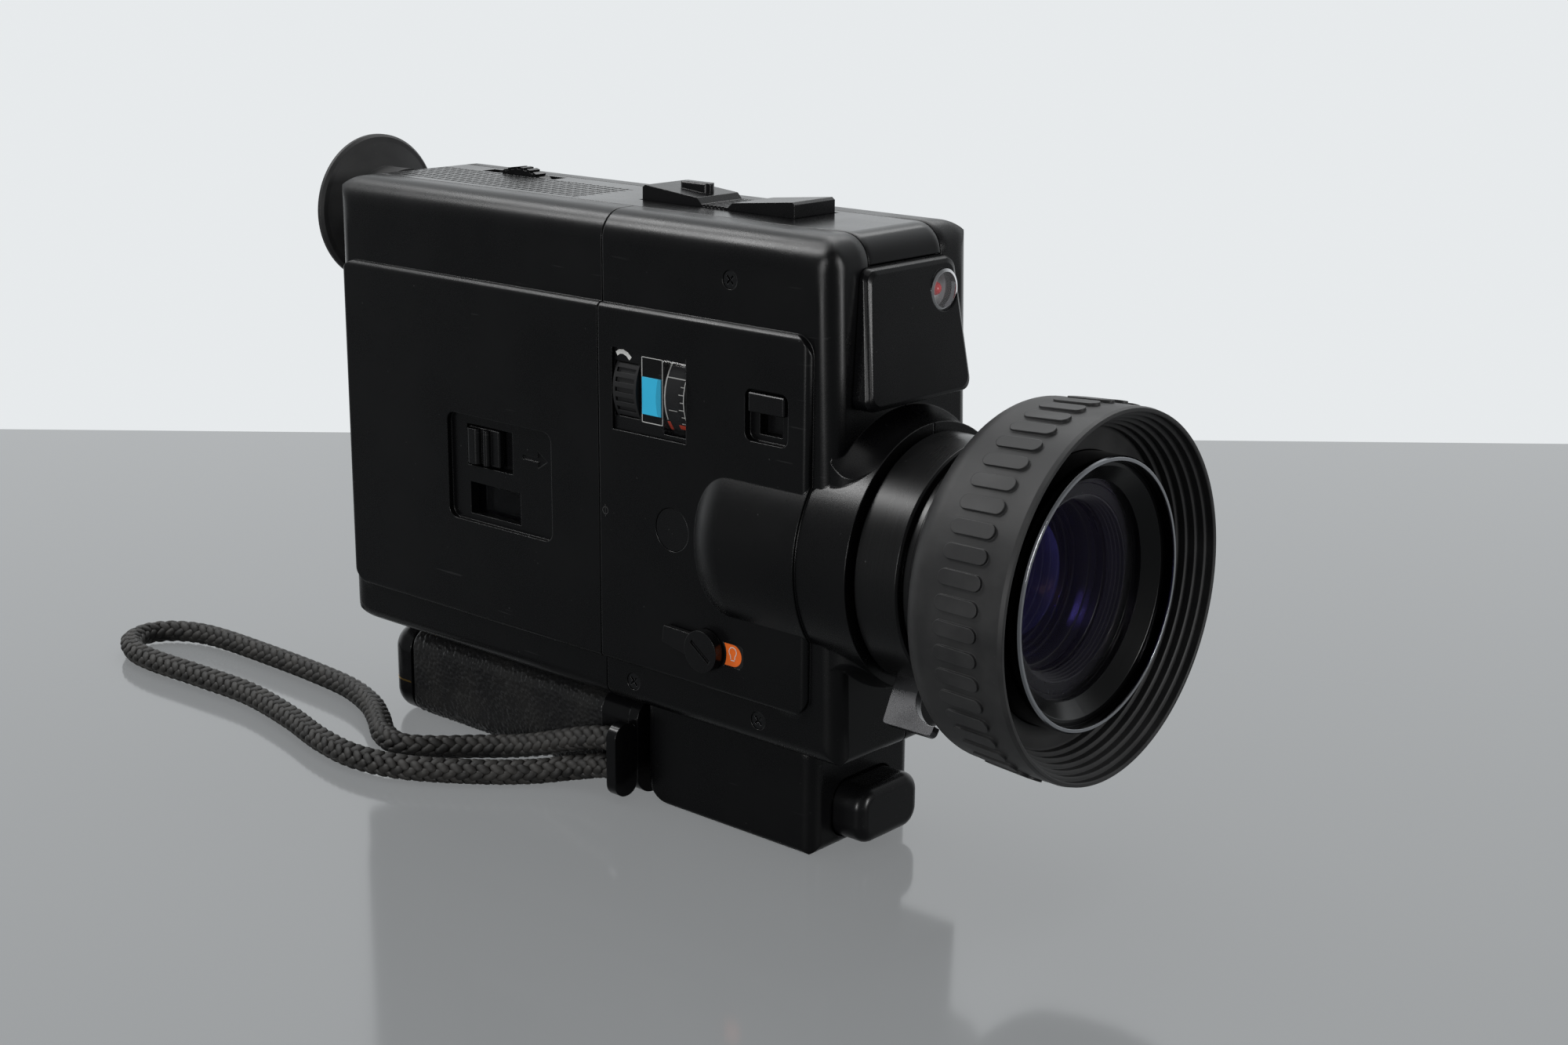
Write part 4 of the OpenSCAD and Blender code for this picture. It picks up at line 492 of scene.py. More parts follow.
def clear(name, share, tint, roughness=0.03):
    """A clear pane: dark and glossy, but only to a small share, so that what is behind it shows."""
    return Finish(name, (0.004, 0.004, 0.006), roughness, **{
        "Alpha": share, "IOR": PANE_IOR, "Specular Tint": (*tint, 1.0)})


def coated(name, tint, share):
    """A clear glass whose coating mirrors a small share of the light, in a colour."""
    return Finish(name, tint, 0.05, Metallic=1.0, Alpha=share)


def lamp_finish(middle_y, middle_z, rim_r):
    """The clear dome of the lamp, with a bright rim."""
    finish = Finish("lamp_clear", (0.8, 0.8, 0.82), 0.08)
    rim = finish.away((0.0, middle_y, middle_z), (0, 1, 1)).between(rim_r, rim_r + 0.15)
    finish.use(Alpha=rim * 0.94 + 0.06, Metallic=rim)
    return finish


def coloured(name, colour, roughness, share=0.12):
    """Coloured plastic or ink that is a little uneven."""
    finish = Finish(name, colour, roughness)
    cloud = finish.noise(0.4, 3.0)
    shade = tuple(c * (1.0 - 2.0 * share) for c in colour)
    finish.use(Base_Color=finish.tint(cloud, shade, colour))
    finish.use(Roughness=(cloud - 0.5) * 0.15 + roughness)
    finish.relief(finish.noise(2.5, 2.0), 0.008, 0.4, 0.1)
    return finish


lens_glass = clear("lens_glass", 0.06, (0.62, 0.45, 1.0))
clear_plastic = clear("clear_plastic", 0.15, (1.0, 1.0, 1.0), roughness=0.06)
violet_glass = coated("violet_glass", (0.22, 0.20, 1.0), 0.11)
amber_glass = coated("amber_glass", (1.0, 0.58, 0.28), 0.12)
baffle = Finish("baffle", (0.020, 0.020, 0.022), 0.22, **{"Specular IOR Level": 0.8})
gold_ink = Finish("gold_ink", (0.62, 0.40, 0.12), 0.3, Metallic=1.0)
orange = coloured("orange", (0.95, 0.17, 0.015), 0.45)
blue = coloured("blue", (0.045, 0.56, 0.88), 0.30, 0.05)
red = coloured("red", (0.75, 0.015, 0.02), 0.2)
cell_wrap = coloured("cell_wrap", (0.05, 0.13, 0.27), 0.25)
white_ink = coloured("white_ink", (0.72, 0.72, 0.70), 0.5, 0.06)
red_ink = coloured("red_ink", (0.90, 0.09, 0.04), 0.45)
grey_ink = coloured("grey_ink", (0.045, 0.045, 0.045), 0.5)
lamp_low, lamp_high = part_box("lamp_lens")
lamp_middle = (lamp_low + lamp_high) / 2
LAMP_RIM_MM = 3.35
lamp_clear = lamp_finish(lamp_middle[1] / MM, lamp_middle[2] / MM, LAMP_RIM_MM)

# The orange inlay has a round end, and the rest of its plate is black
INLAY_R, PLATE_R = 2.145, 2.28
inlay_low, inlay_high = (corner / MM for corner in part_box("filter_inlay"))
end_x, end_z = inlay_high[0] - 2.7, (inlay_low[2] + inlay_high[2]) / 2
past_end = (orange.along((1, 0, 0)) - end_x).sum("MAXIMUM", 0.0)
beside = orange.along((0, 0, 1)) - end_z
beyond = (past_end * past_end + beside * beside).between(INLAY_R ** 2, PLATE_R ** 2)
orange.paint(beyond, (0.004, 0.004, 0.004))
tell("clear:", lens_glass, clear_plastic, violet_glass, amber_glass, lamp_clear)
tell("coloured:", baffle, gold_ink, orange, blue, red, cell_wrap, white_ink, red_ink, grey_ink)

# %% [markdown]
# ## Putting the finishes on the solids
#
# The record says which slot each solid takes its finish from, so one loop dresses them all. The meshes of
# the solids stay as they are. A few solids differ from the rest of their slot, as the glossier top cover
# does, and these are named one by one.

# %% Finish of every solid
FINISHES = {
    "housing": housing, "fascia": fascia, "grip_plastic": grip_plastic, "control": control,
    "chassis": chassis, "rubber": rubber, "grained_cover": leather, "braid": braid,
    "lens_glass": lens_glass, "clear_plastic": clear_plastic, "ring_chrome": ring_chrome,
    "reflector": reflector, "lens_black": lens_black, "lever_metal": lever_metal, "steel": steel,
    "brass": brass, "shutter_black": shutter_black, "screw_black": screw_black, "orange": orange,
    "blue": blue, "red": red, "cell_wrap": cell_wrap}
slot_of = {part["node"]: part["material_slot"] for part in frame["record"]["subparts"]}


def dress(piece, finish):
    """Give a piece one finish."""
    piece.data.materials.clear()
    piece.data.materials.append(finish.material)
    return piece


OWN_FINISH = {"top_cover": lid, "name_ring": name_black, "exposure_wheel": chassis, "lamp_lens": lamp_clear}
for name, node in nodes.items():
    dress(node, OWN_FINISH.get(name, FINISHES[slot_of[name]]))
print("solids dressed:", len(nodes))

# %% [markdown]
# ## The wrist strap
#
# The strap is a round braided nylon cord, 5.4 mm thick, which leaves an eye beside the grip, lies in one long
# loop on the table and comes back into the same eye. A bump map on a tube would look printed at this size,
# so every stitch of the braid is a small rounded piece. Eight columns of them lean left and right in turn,
# and each column is moved by half a stitch against the next.

# %% Route of the strap
STRAP_ROUTE = MM * np.array([
    (-25, -18.9, 12.2), (-31, -18.9, 12.2), (-40, -19.2, 9.6), (-49, -19.7, 6.4), (-58, -20.9, 3.9),
    (-66, -24.6, 2.8), (-71.5, -30.2, 2.8), (-78, -34.2, 2.8), (-86, -32.6, 2.8), (-95, -27, 2.8),
    (-104, -22.2, 2.8), (-116, -18.6, 2.8), (-132, -17.2, 2.8), (-151, -16.8, 2.8), (-167, -17, 2.8),
    (-176, -18.5, 2.8), (-182.4, -22.3, 2.8), (-184.8, -27.6, 2.8), (-182.4, -32.9, 2.8),
    (-176, -36.7, 2.8), (-166, -38, 2.8), (-149, -37.2, 2.8), (-130, -36.8, 2.8), (-111, -39.8, 2.8),
    (-94, -44, 2.8), (-80.5, -45.4, 2.8), (-68, -42.6, 2.8), (-56, -35.2, 2.8), (-46.5, -26.8, 2.8),
    (-38.5, -20.8, 4.1), (-31, -18.9, 6), (-25, -18.9, 6)])


def smooth_line(points, steps):
    """A curve through all the points, with that many steps between two of them."""
    padded = np.vstack([2 * points[0] - points[1], points, 2 * points[-1] - points[-2]])
    line = []
    for before, here, there, after in zip(padded, padded[1:], padded[2:], padded[3:]):
        for t in np.arange(steps) / steps:
            bend = (2 * before - 5 * here + 4 * there - after) * t ** 2
            twist = (3 * here - before - 3 * there + after) * t ** 3
            line.append(0.5 * (2 * here + (there - before) * t + bend + twist))
    return np.array(line + [points[-1]])


strap_line = smooth_line(STRAP_ROUTE, 10)
strap_length = float(np.linalg.norm(np.diff(strap_line, axis=0), axis=1).sum())
print("strap length:", round(strap_length, 4), "m")


# %% Braided strap
def braid_recipe():
    """A core along the line, with columns of leaning stitches round it."""
    recipe = Recipe("strap_braid", Pitch=0.0028, Columns=8, Core=0.0019, Ring=0.00185, Lean=0.52, Tilt=0.16,
                    Thick=0.00085, Wide=0.00106, Long=0.00185, Start=0.0021,
                    Stop=strap_length - 0.0036, Seed=3)
    line = recipe.node("GeometryNodeMeshToCurve", {}, {"Mesh": recipe.source}).outputs[0]
    circle = recipe.node("GeometryNodeCurvePrimitiveCircle", {}, {
        "Resolution": 12, "Radius": recipe.size("Core")})
    core = recipe.node("GeometryNodeCurveToMesh", {}, {"Curve": line, "Profile Curve": circle.outputs[0],
                                                       "Fill Caps": True})
    woven = recipe.node("GeometryNodeTrimCurve", {"mode": "LENGTH"}, {"Curve": line})
    lengths = [socket for socket in woven.inputs if socket.name in ("Start", "End") and socket.enabled]
    recipe.tree.links.new(recipe.size("Start").socket, lengths[0])
    recipe.tree.links.new(recipe.size("Stop").socket, lengths[1])
    rows = recipe.node("GeometryNodeCurveToPoints", {"mode": "LENGTH"}, {"Curve": woven.outputs[0],
                                                                        "Length": recipe.size("Pitch")})
    copies = recipe.node("GeometryNodeDuplicateElements", {"domain": "POINT"}, {
        "Geometry": rows.outputs["Points"], "Amount": recipe.size("Columns")})
    column = Value(recipe, copies.outputs["Duplicate Index"])
    angle = column * (2 * math.pi) / recipe.size("Columns")
    odd = column.sum("MODULO", 2.0)
    forward = rows.outputs["Tangent"]
    normal = rows.outputs["Normal"]
    outside = recipe.added(recipe.scaled(normal, angle.sum("COSINE")),
                           recipe.scaled(recipe.cross(forward, normal), angle.sum("SINE")))
    sideways = recipe.cross(forward, outside)
    lean = recipe.size("Lean")
    along = recipe.added(recipe.scaled(forward, lean.sum("COSINE")),
                         recipe.scaled(sideways, (odd * 2.0 - 1.0) * lean.sum("SINE")),
                         recipe.scaled(outside, recipe.size("Tilt")))
    moved = recipe.added(recipe.scaled(outside, recipe.size("Ring")),
                         recipe.scaled(forward, odd * recipe.size("Pitch") * 0.5))
    spots = recipe.node("GeometryNodeSetPosition", {}, {
        "Geometry": copies.outputs["Geometry"], "Offset": moved})
    tone = recipe.node("FunctionNodeRandomValue", {"data_type": "FLOAT"}, {"Seed": recipe.size("Seed")})
    tone_out = [socket for socket in tone.outputs if socket.enabled][0]
    toned = recipe.store(spots.outputs[0], "stitch_tone", tone_out, "FLOAT")
    ball = recipe.node("GeometryNodeMeshUVSphere", {}, {"Segments": 8, "Rings": 6, "Radius": 1.0})
    here = recipe.node("GeometryNodeInputPosition", {}, {})
    marked = recipe.store(ball.outputs["Mesh"], "stitch_at", here.outputs[0], "FLOAT_VECTOR")
    sizes = recipe.node("ShaderNodeCombineXYZ", {}, {
        0: recipe.size("Thick"), 1: recipe.size("Wide"), 2: recipe.size("Long")})
    stitch = recipe.node("GeometryNodeTransform", {}, {"Geometry": marked, "Scale": sizes.outputs[0]})
    turn = recipe.node("FunctionNodeAxesToRotation", {"primary_axis": "Z", "secondary_axis": "X"}, {
        0: along, 1: outside})
    stitches = recipe.node("GeometryNodeInstanceOnPoints", {}, {
        "Points": toned, "Instance": stitch.outputs[0], "Rotation": turn.outputs[0]})
    both = recipe.node("GeometryNodeJoinGeometry", {}, {})
    recipe.tree.links.new(stitches.outputs[0], both.inputs[0])
    recipe.tree.links.new(core.outputs[0], both.inputs[0])
    return recipe, both.outputs[0]


strap = add_mesh("strap_cord", strap_line, [], [(i, i + 1) for i in range(len(strap_line) - 1)])
recipe, result = braid_recipe()
recipe.bake(strap, result, braid)
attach(strap, "grip")
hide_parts("wrist_strap")
print("strap faces:", len(strap.data.polygons))

# %% [markdown]
# ## The pebbled grip cover
#
# The grip is wrapped in leatherette with pebbles of about a millimetre. They catch the light on the rounded
# edge, so they are real relief: a fine sleeve is moved outwards by a cell pattern. The mask keeps the ends
# and the inside of the sleeve still, so that it stays a closed piece.

# %% Leatherette sleeve
cover_low, cover_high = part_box("grip_cover")
COVER_EDGE_R = 0.0045
COVER_INSET = 0.00026
COVER_WALL = 0.0006
COVER_STEP = 0.0003
COVER_FADE = 0.0008


def rounded_section(inset, step):
    """Points round the grip's section, as (y, z)."""
    y0, y1 = cover_low[1] + inset, cover_high[1] - inset
    z0, z1 = cover_low[2] + inset, cover_high[2] - inset
    r = COVER_EDGE_R - inset
    corners = [(y1 - r, z1 - r, 0), (y0 + r, z1 - r, 90), (y0 + r, z0 + r, 180), (y1 - r, z0 + r, 270)]
    turns = max(4, round(r * math.pi / 2 / step))
    line = []
    for i, (y, z, first) in enumerate(corners):
        for k in range(turns):
            a = math.radians(first + 90 * k / turns)
            line.append((y + r * math.cos(a), z + r * math.sin(a)))
        a = math.radians(first + 90)
        start = np.array((y + r * math.cos(a), z + r * math.sin(a)))
        y2, z2, _ = corners[(i + 1) % 4]
        stop = np.array((y2 + r * math.cos(a), z2 + r * math.sin(a)))
        runs = max(2, round(float(np.linalg.norm(stop - start)) / step))
        line.extend(tuple(start + (stop - start) * k / runs) for k in range(runs))
    return np.array(line)


def leather_sleeve():
    """A closed sleeve, with a mask that says where pebbles may rise."""
    outer = rounded_section(COVER_INSET, COVER_STEP)
    centre = np.array(((cover_low[1] + cover_high[1]) / 2, (cover_low[2] + cover_high[2]) / 2))
    half = np.array((cover_high[1] - cover_low[1], cover_high[2] - cover_low[2])) / 2 - COVER_INSET
    inner = centre + (outer - centre) * (1 - COVER_WALL / half)
    xs = np.linspace(cover_low[0], cover_high[0], round((cover_high[0] - cover_low[0]) / COVER_STEP) + 1)
    rings = [(x, outer) for x in xs] + [(x, inner) for x in (xs[-1], xs[0])]
    count = len(outer)
    points = [(x, y, z) for x, ring in rings for y, z in ring]
    faces = []
    for i in range(len(rings)):
        here, there = i * count, (i + 1) % len(rings) * count
        for k in range(count):
            n = (k + 1) % count
            faces.append((here + k, here + n, there + n, there + k))
    sleeve = add_mesh("grip_leather", points, faces)
    fade = np.clip(np.minimum(xs - xs[0], xs[-1] - xs) / COVER_FADE, 0, 1)
    mask = sleeve.data.attributes.new("pebbled", "FLOAT", "POINT")
    values = np.concatenate([np.repeat(fade, count), np.zeros(2 * count)])
    mask.data.foreach_set("value", values.astype(np.float32))
    return sleeve


def leather_recipe():
    """Pebbles that a cell pattern raises on the sleeve."""
    recipe = Recipe("leather_pebbles", Pebble=0.00105, Relief=0.00024, Wander=0.0006)
    here = recipe.node("GeometryNodeInputPosition", {}, {}).outputs[0]
    drift = recipe.node("ShaderNodeTexNoise", {}, {"Vector": here, "Scale": 420.0, "Detail": 1.0})
    bent = recipe.added(here, recipe.scaled(drift.outputs["Color"], recipe.size("Wander")))
    cells = recipe.node("ShaderNodeTexVoronoi", {"feature": "DISTANCE_TO_EDGE"}, {
        "Vector": bent, "Scale": 1.0 / recipe.size("Pebble")})
    pebble = Value(recipe, cells.outputs["Distance"]).between(0.02, 0.30)
    mask = recipe.node("GeometryNodeInputNamedAttribute", {"data_type": "FLOAT"}, {"Name": "pebbled"})
    facing = recipe.node("GeometryNodeInputNormal", {}, {})
    lift = pebble * recipe.size("Relief") * Value(recipe, mask.outputs[0])
    moved = recipe.node("GeometryNodeSetPosition", {}, {
        "Geometry": recipe.source, "Offset": recipe.scaled(facing.outputs[0], lift)})
    return recipe, moved.outputs[0]


sleeve = leather_sleeve()
recipe, result = leather_recipe()
recipe.bake(sleeve, result, leather)
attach(sleeve, "grip")
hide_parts("grip_cover")
print("leatherette faces:", len(sleeve.data.polygons))

# %% [markdown]
# ## Behind the front glass
#
# Through the front glass one looks down a tube of blackened steps at two more glasses. Each is a profile
# turned about the lens axis. Their coatings tint the reflection of a window: violet in front, amber behind.


# %% Tools for turned pieces
LENS_Z = 0.0615


def outward(piece):
    """Turn all the faces of a closed piece outwards."""
    work = bmesh.new()
    work.from_mesh(piece.data)
    bmesh.ops.recalc_face_normals(work, faces=work.faces)
    work.to_mesh(piece.data)
    work.free()
    return piece


def turned(name, profile, finish, body="focus", axis=(0.0, LENS_Z), segments=96):
    """A closed profile of (radius, x) in mm, turned about an axis along x, the lens axis if none is given."""
    points, rings = [], []
    for r, x in profile:
        count = 1 if r < 0.001 else segments
        rings.append((len(points), count))
        for k in range(count):
            a = 2 * math.pi * k / segments
            points.append((x * MM, axis[0] + r * MM * math.sin(a), axis[1] + r * MM * math.cos(a)))
    faces = []
    for (here, few), (there, many) in zip(rings, rings[1:] + rings[:1]):
        for k in range(segments):
            n = (k + 1) % segments
            corners = [here + k % few, here + n % few, there + n % many, there + k % many]
            corners = list(dict.fromkeys(corners))
            if len(corners) > 2:
                faces.append(corners)
    piece = outward(add_mesh(name, points, faces))
    piece.data.shade_smooth()
    piece.data.set_sharp_from_angle(angle=math.radians(30.0))
    dress(piece, finish)
    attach(piece, body)
    return piece


def dome(radius, edge_x, curve, steps=14):
    """The convex side of a glass, from its edge to its top."""
    sag = curve - math.sqrt(curve ** 2 - radius ** 2)
    centre = edge_x + sag - curve
    angles = np.linspace(math.asin(radius / curve), 0.0, steps)
    return [(curve * math.sin(a) if a > 0 else 0.0, centre + curve * math.cos(a)) for a in angles]


def steps_down(r0, x0, fall, run, count):
    """Steps of a tube that gets narrower towards the rear."""
    line = []
    for i in range(count):
        line.extend([(r0 - fall * i, x0 - run * i), (r0 - fall * i, x0 - run * (i + 1))])
    return line


# %% Lens interior
REAR_STEPS = [(15.9, 65.0), (15.9, 63.6), (15.5, 63.6), (15.5, 60.6)] + steps_down(14.9, 60.6, 0.5, 1.4, 7)
REAR_TUBE = [(17.3, 50.4), (17.3, 65.0)] + REAR_STEPS + [(11.5, 50.8), (11.5, 50.4)]
FRONT_STEPS = steps_down(17.1, 70.4, 0.28, 0.7, 4)
FRONT_TUBE = [(17.4, 67.25), (17.4, 70.4)] + FRONT_STEPS + [(16.1, 67.6), (16.1, 67.25)]
GLASS_TWO = [(0.0, 60.8), (15.2, 60.8)] + dome(15.2, 62.0, 30.0)
GLASS_THREE = [(0.0, 48.6), (11.3, 48.6)] + dome(11.3, 50.0, 15.0)
lens_pieces = [turned("lens_baffle_rear", REAR_TUBE, baffle),
               turned("lens_baffle_front", FRONT_TUBE, baffle),
               turned("lens_glass_two", GLASS_TWO, violet_glass),
               turned("lens_glass_three", GLASS_THREE, amber_glass)]
print("faces of the lens pieces:", [len(piece.data.polygons) for piece in lens_pieces])

# %% [markdown]
# ## The bulb of the front lamp
#
# A small red bulb sits behind a clear dome, which makes it look larger. The dome's finish bends no light, so
# the bulb itself is made a little larger than the solid it stands for, by the same turning tool.

# %% Lamp bulb
BULB_R = 1.35
BULB_LONG = 2.2
BULB_GAP = 0.02
bulb_x = lamp_low[0] / MM - BULB_GAP - BULB_R
bulb_foot = [(0.0, bulb_x - BULB_LONG), (BULB_R, bulb_x - BULB_LONG)]
bulb_profile = bulb_foot + dome(BULB_R - 0.001, bulb_x, BULB_R)
bulb = turned("lamp_bulb", bulb_profile, red, "camera", (lamp_middle[1], lamp_middle[2]), 32)
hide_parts("lamp_diode")
print("bulb starts at x", round(bulb_x, 2), "mm")

# %% [markdown]
# ## The spring behind the release button
#
# A coil spring gets shorter when the button goes in. A solid can't, so a copy of it, with its doubles merged,
# takes its place. The share of its length that would stay with the button in is worked out, but the copy
# isn't flattened.

# %% Release spring
spring_low, spring_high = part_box("release_spring")
spring = bpy.data.objects.new("spring_coil", nodes["release_spring"].data.copy())
bpy.context.scene.collection.objects.link(spring)
work = bmesh.new()
work.from_mesh(spring.data)
bmesh.ops.remove_doubles(work, verts=work.verts, dist=1e-7)
work.to_mesh(spring.data)
work.free()
spring.data.shade_smooth()
spring.data.set_sharp_from_angle(angle=math.radians(70.0))
stroke = max(abs(end) for joint in frame["record"]["behaviour"]["joints"] if joint["name"] == "release_press"
             for end in joint["range_m"])
dress(spring, steel)
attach(spring, "camera")
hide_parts("release_spring")
1.0 - stroke / (spring_high[0] - spring_low[0])
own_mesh(spring)
print("spring length:", round(spring_high[0] - spring_low[0], 4), "stroke:", stroke)

# %% [markdown]
# ## Printing
#
# Ink is a flat strip, 0.08 mm thick and half sunk into the surface it lies on. A strip follows a line of
# points with an outward direction at each, so the same function draws a tick, a frame or a bent line.

# %% Printed marks
HALF_INK = 0.00004


def printed(name, strips, body, finish):
    """Strips of ink in one piece. Each strip is a list of (point, outward) in mm, and a width in mm."""
    points, faces = [], []
    for line, width in strips:
        first = len(points)
        at = MM * np.array([point for point, _ in line])
        out = np.array([facing for _, facing in line], float)
        across = np.cross(np.gradient(at, axis=0), out)
        across *= width * MM / 2 / np.linalg.norm(across, axis=1)[:, None]
        for p, n, a in zip(at, out, across):
            lift = n * HALF_INK
            points.extend((p + a + lift, p - a + lift, p - a - lift, p + a - lift))
        last = len(points) - 4
        for here in range(first, last, 4):
            for k in range(4):
                n = (k + 1) % 4
                faces.append((here + k, here + n, here + 4 + n, here + 4 + k))
        faces.append(range(first, first + 4))
        faces.append(range(last, last + 4))
    piece = outward(add_mesh(name, points, faces))
    dress(piece, finish)
    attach(piece, body)
    print(name, "has strips:", len(strips))
    return piece


# %% Marks of the exposure drum
# The drum turns about an axis along x, and is seen from the side that faces -y
DRUM_Y, DRUM_Z, DRUM_R = -11.3, 88.15, 10.83


def on_drum(x, degrees):
    """A point on the drum and its outward direction. 0 degrees faces the window."""
    a = math.radians(degrees)
    facing = (0.0, -math.cos(a), math.sin(a))
    return (x, DRUM_Y + DRUM_R * facing[1], DRUM_Z + DRUM_R * facing[2]), facing


def round_drum(x, first, last):
    return [on_drum(x, d) for d in np.linspace(first, last, 9)]


def across_drum(x0, x1, degrees):
    return [on_drum(x0, degrees), on_drum(x1, degrees)]


ticks = [(across_drum(-6.3 if i % 2 else -5.9, -4.9, 14 - 8 * i), 0.16) for i in range(6)]
printed("dial_marks", ticks + [(across_drum(-10.0, -4.9, 22), 0.22), (across_drum(-9.0, -6.8, -12), 0.14),
                               (round_drum(-4.95, -27, 43), 0.16), (round_drum(-9.9, -24, 45), 0.30)],
        "exposure", white_ink)
printed("dial_red", [(round_drum(-9.8, -37, -26), 0.8), (across_drum(-7.3, -5.1, -31), 1.0)],
        "exposure", red_ink)

# %% Marks on the covers
# A frame round the blue flag, a painted highlight at the top of the wheel's slot, a bulb, and the sign of the
# film plane
OUT = (0.0, -1.0, 0.0)
WINDOW_Y = -21.6
INLAY_Y = -22.25
DOOR_Y = -22.3


def flat(*spots, y):
    """A line on a flat side, through spots of (x, z)."""
    return [((x, y, z), OUT) for x, z in spots]


def ring(x, z, r, y, first=0, last=360, count=25):
    """A ring or a part of one on a flat side."""
    turns = np.radians(np.linspace(first, last, count))
    return flat(*[(x + r * math.cos(a), z + r * math.sin(a)) for a in turns], y=y)


FRAME = [(-16.5, 82.4), (-11.0, 82.4), (-11.0, 95.3), (-16.5, 95.3)]
printed("flag_frame", [(flat(a, b, y=WINDOW_Y), 0.15) for a, b in zip(FRAME, FRAME[1:] + FRAME[:1])],
        "camera", white_ink)
# A white crescent on the frame plate at the top of the wheel's slot: a painted highlight, not a mark on the
# wheel
PAINTED_GLINT = [(-23.4, 95.0), (-22.6, 95.5), (-21.6, 95.6), (-20.5, 95.2), (-19.6, 94.4)]
printed("wheel_painted_glint", [(flat(*PAINTED_GLINT, y=WINDOW_Y), 0.9)], "camera", white_ink)
printed("bulb_sign", [(ring(8.1, 40.7, 0.95, INLAY_Y, -50, 230), 0.16),
                      (flat((7.5, 39.95), (7.6, 39.2), y=INLAY_Y), 0.16),
                      (flat((8.7, 39.95), (8.6, 39.2), y=INLAY_Y), 0.16),
                      (flat((7.6, 39.0), (8.6, 39.0), y=INLAY_Y), 0.16)],
        "camera", white_ink)
printed("film_mark", [(ring(-26.35, 62.8, 0.75, DOOR_Y), 0.14),
                      (flat((-26.35, 61.5), (-26.35, 64.1), y=DOOR_Y), 0.1)],
        "camera", grey_ink)

# %% Gold line of the battery cap
# It follows the cap's rounded end
CAP_SIDE, CAP_BEND, CAP_R, CAP_LINE_Z = -15.5, -99.9, 4.8, 7.8
cap_line = [((-97.2, CAP_SIDE, CAP_LINE_Z), OUT)]
for a in np.radians(np.linspace(0, 90, 13)):
    facing = (-math.sin(a), -math.cos(a), 0.0)
    spot = (CAP_BEND + CAP_R * facing[0], CAP_SIDE + CAP_R * (1 + facing[1]), CAP_LINE_Z)
    cap_line.append((spot, facing))
printed("cap_line", [(cap_line, 0.35)], "cap", gold_ink)

# %% [markdown]
# ## Floor and light
#
# The object stands on a plain pale floor of glassy grey in front of a pale surround. Black plastic shows
# little else than what it mirrors. So the surround that mirrors see is darker on the side of the viewer, as
# a room is, and each lamp stands where an edge or a corner mirrors it to the viewer. Only the lamp above
# lights the floor: light linking keeps the squares of the others off it. The floor lets a little of what is
# below it through, so that the grip still shows when it is turned down.

# %% Floor
FLOOR_REACH = 8.0
FLOOR_BACK = 0.335
FLOOR_Z = -0.0002
back_way = Vector((-math.sin(AZIMUTH), math.cos(AZIMUTH), 0.0))
side_way = Vector((math.cos(AZIMUTH), math.sin(AZIMUTH), 0.0))
FLOOR_CORNERS = ((FLOOR_BACK, -1), (-FLOOR_REACH, -1), (-FLOOR_REACH, 1), (FLOOR_BACK, 1))
below = Vector((0.0, 0.0, FLOOR_Z))
corners = [back_way * back + side_way * side * FLOOR_REACH + below for back, side in FLOOR_CORNERS]
floor = add_mesh("floor", corners, [(0, 1, 2, 3)])
dress(floor, Finish("floor", (0.22, 0.233, 0.238), 0.10, IOR=1.9, Alpha=0.78))
not_the_floor = bpy.data.collections.new("not the floor")
not_the_floor.objects.link(floor)
not_the_floor.collection_objects[0].light_linking.link_state = "EXCLUDE"
print("floor reaches", FLOOR_REACH, "m to the front and the sides, and", FLOOR_BACK, "m to the back")

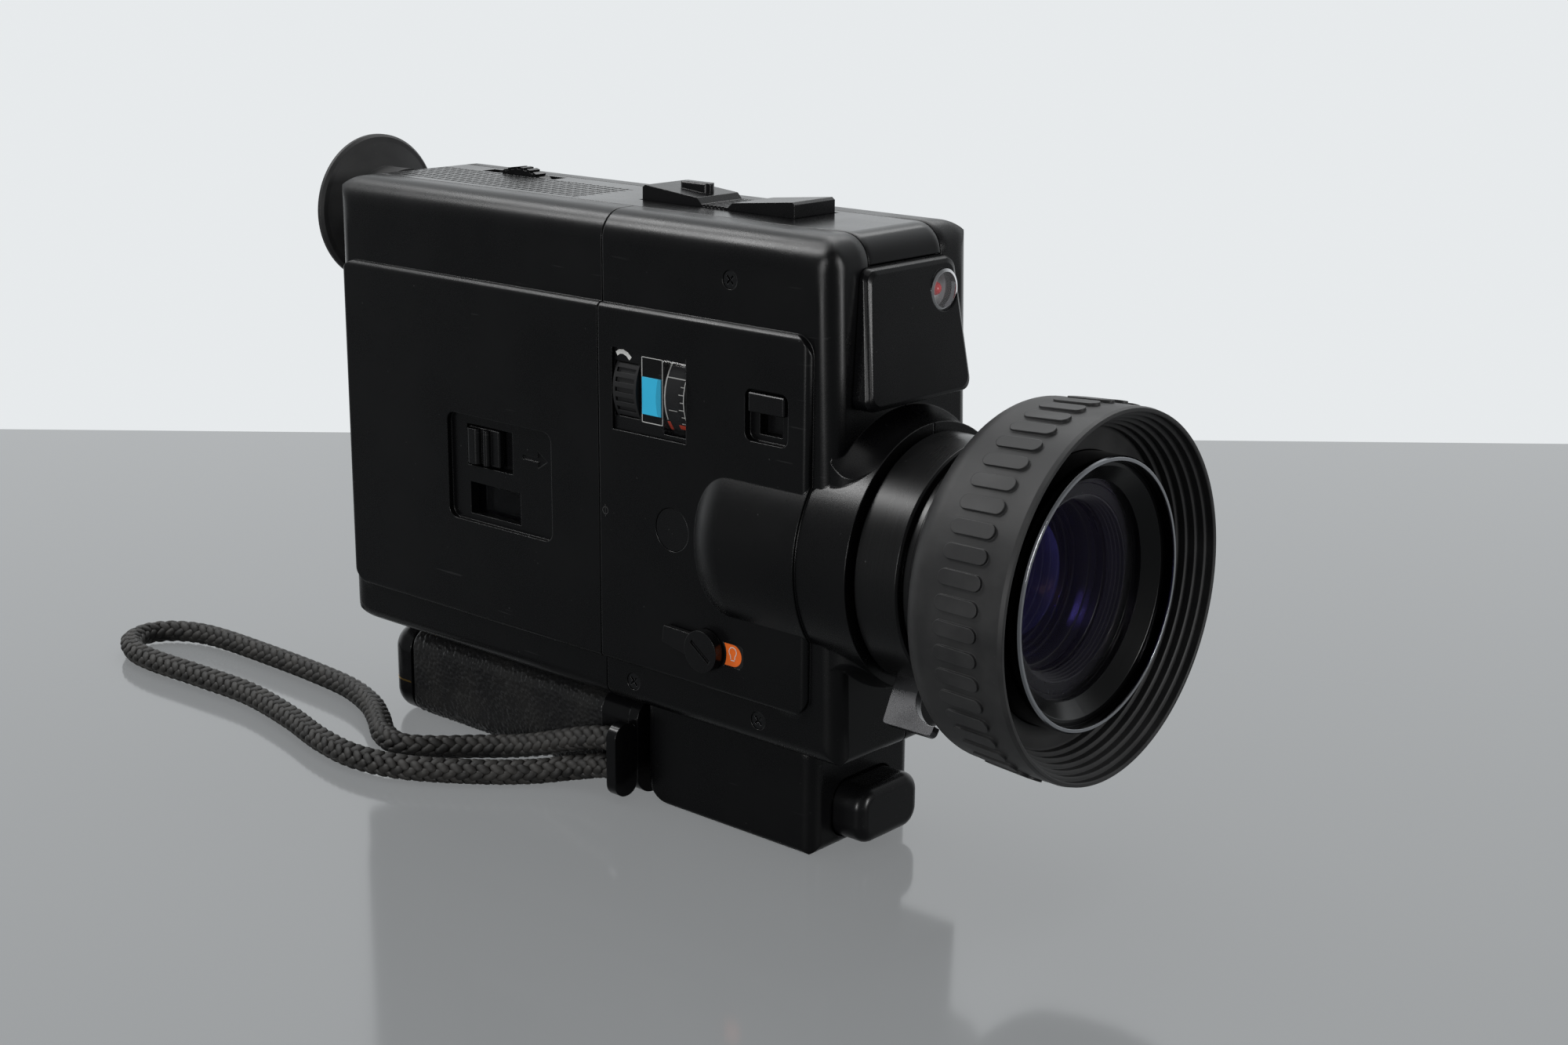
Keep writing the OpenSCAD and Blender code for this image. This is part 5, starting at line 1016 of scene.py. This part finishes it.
# %% Surround
DARK_SIDE = 0.15
AMBIENT = 0.45
world = bpy.data.worlds.new("surround")
bpy.context.scene.world = world
world.use_nodes = True
world.cycles.sampling_method = "NONE"
around = Graph(world.node_tree)
path = around.node("ShaderNodeLightPath", {}, {})
by_camera, by_mirror, by_glass = (Value(around, path.outputs[f"Is {kind} Ray"])
                                  for kind in ("Camera", "Glossy", "Transmission"))
seen = (by_camera + by_mirror + by_glass).sum("MINIMUM", 1.0)
ray = around.node("ShaderNodeTexCoord", {}, {})
toward_back = Value(around, around.vector("DOT_PRODUCT", ray.outputs["Generated"], back_way, "Value"))
behind = toward_back.between(0.0, 0.7)
shade = (behind * (1.0 - DARK_SIDE) + DARK_SIDE).sum("MAXIMUM", by_camera)
light = around.node("ShaderNodeBackground", {}, {"Color": (0.80, 0.815, 0.83, 1.0), "Strength": AMBIENT})
pale = around.node("ShaderNodeBackground", {}, {"Color": (0.80, 0.825, 0.84, 1.0), "Strength": shade})
either = around.node("ShaderNodeMixShader", {}, {0: seen, 1: light.outputs[0], 2: pale.outputs[0]})
around.node("ShaderNodeOutputWorld", {}, {"Surface": either.outputs[0]})
print("surround nodes:", len(around.tree.nodes))


# %% Lamps
def soft_lamp(name, at, target, size, watts, on_floor=False):
    """A lamp with a soft square or strip of light, turned to its target."""
    data = bpy.data.lights.new(name, "AREA")
    data.shape = "RECTANGLE"
    data.size, data.size_y = size
    data.energy = watts
    lamp = bpy.data.objects.new(name, data)
    bpy.context.scene.collection.objects.link(lamp)
    aim = (Vector(target) - Vector(at)).to_track_quat("-Z", "Y")
    lamp.matrix_world = Matrix.Translation(at) @ aim.to_matrix().to_4x4()
    if not on_floor:
        lamp.light_linking.receiver_collection = not_the_floor
    return lamp


CENTRE = (-0.02, 0.0, 0.06)
BARREL = (0.04, 0.0, 0.06)
RINGS = (0.05, 0.0, 0.06)
soft_lamp("lamp_above", (0.0, 0.15, 1.00), CENTRE, (1.0, 1.0), 1.6, on_floor=True)
soft_lamp("lamp_top_edge", (-0.80, -0.05, 0.95), CENTRE, (0.30, 0.25), 1.8)
soft_lamp("lamp_left", (-0.68, -0.45, 0.84), BARREL, (0.25, 0.30), 3.2)
soft_lamp("lamp_back", (-0.45, 0.72, 1.10), CENTRE, (0.75, 0.75), 3.6)
soft_lamp("lamp_side", (0.02, -1.20, 0.20), CENTRE, (0.12, 0.40), 4.2)
soft_lamp("lamp_window", (1.15, 0.15, 0.20), RINGS, (0.12, 0.40), 4.4)
print("lamps:", len(bpy.data.lights))
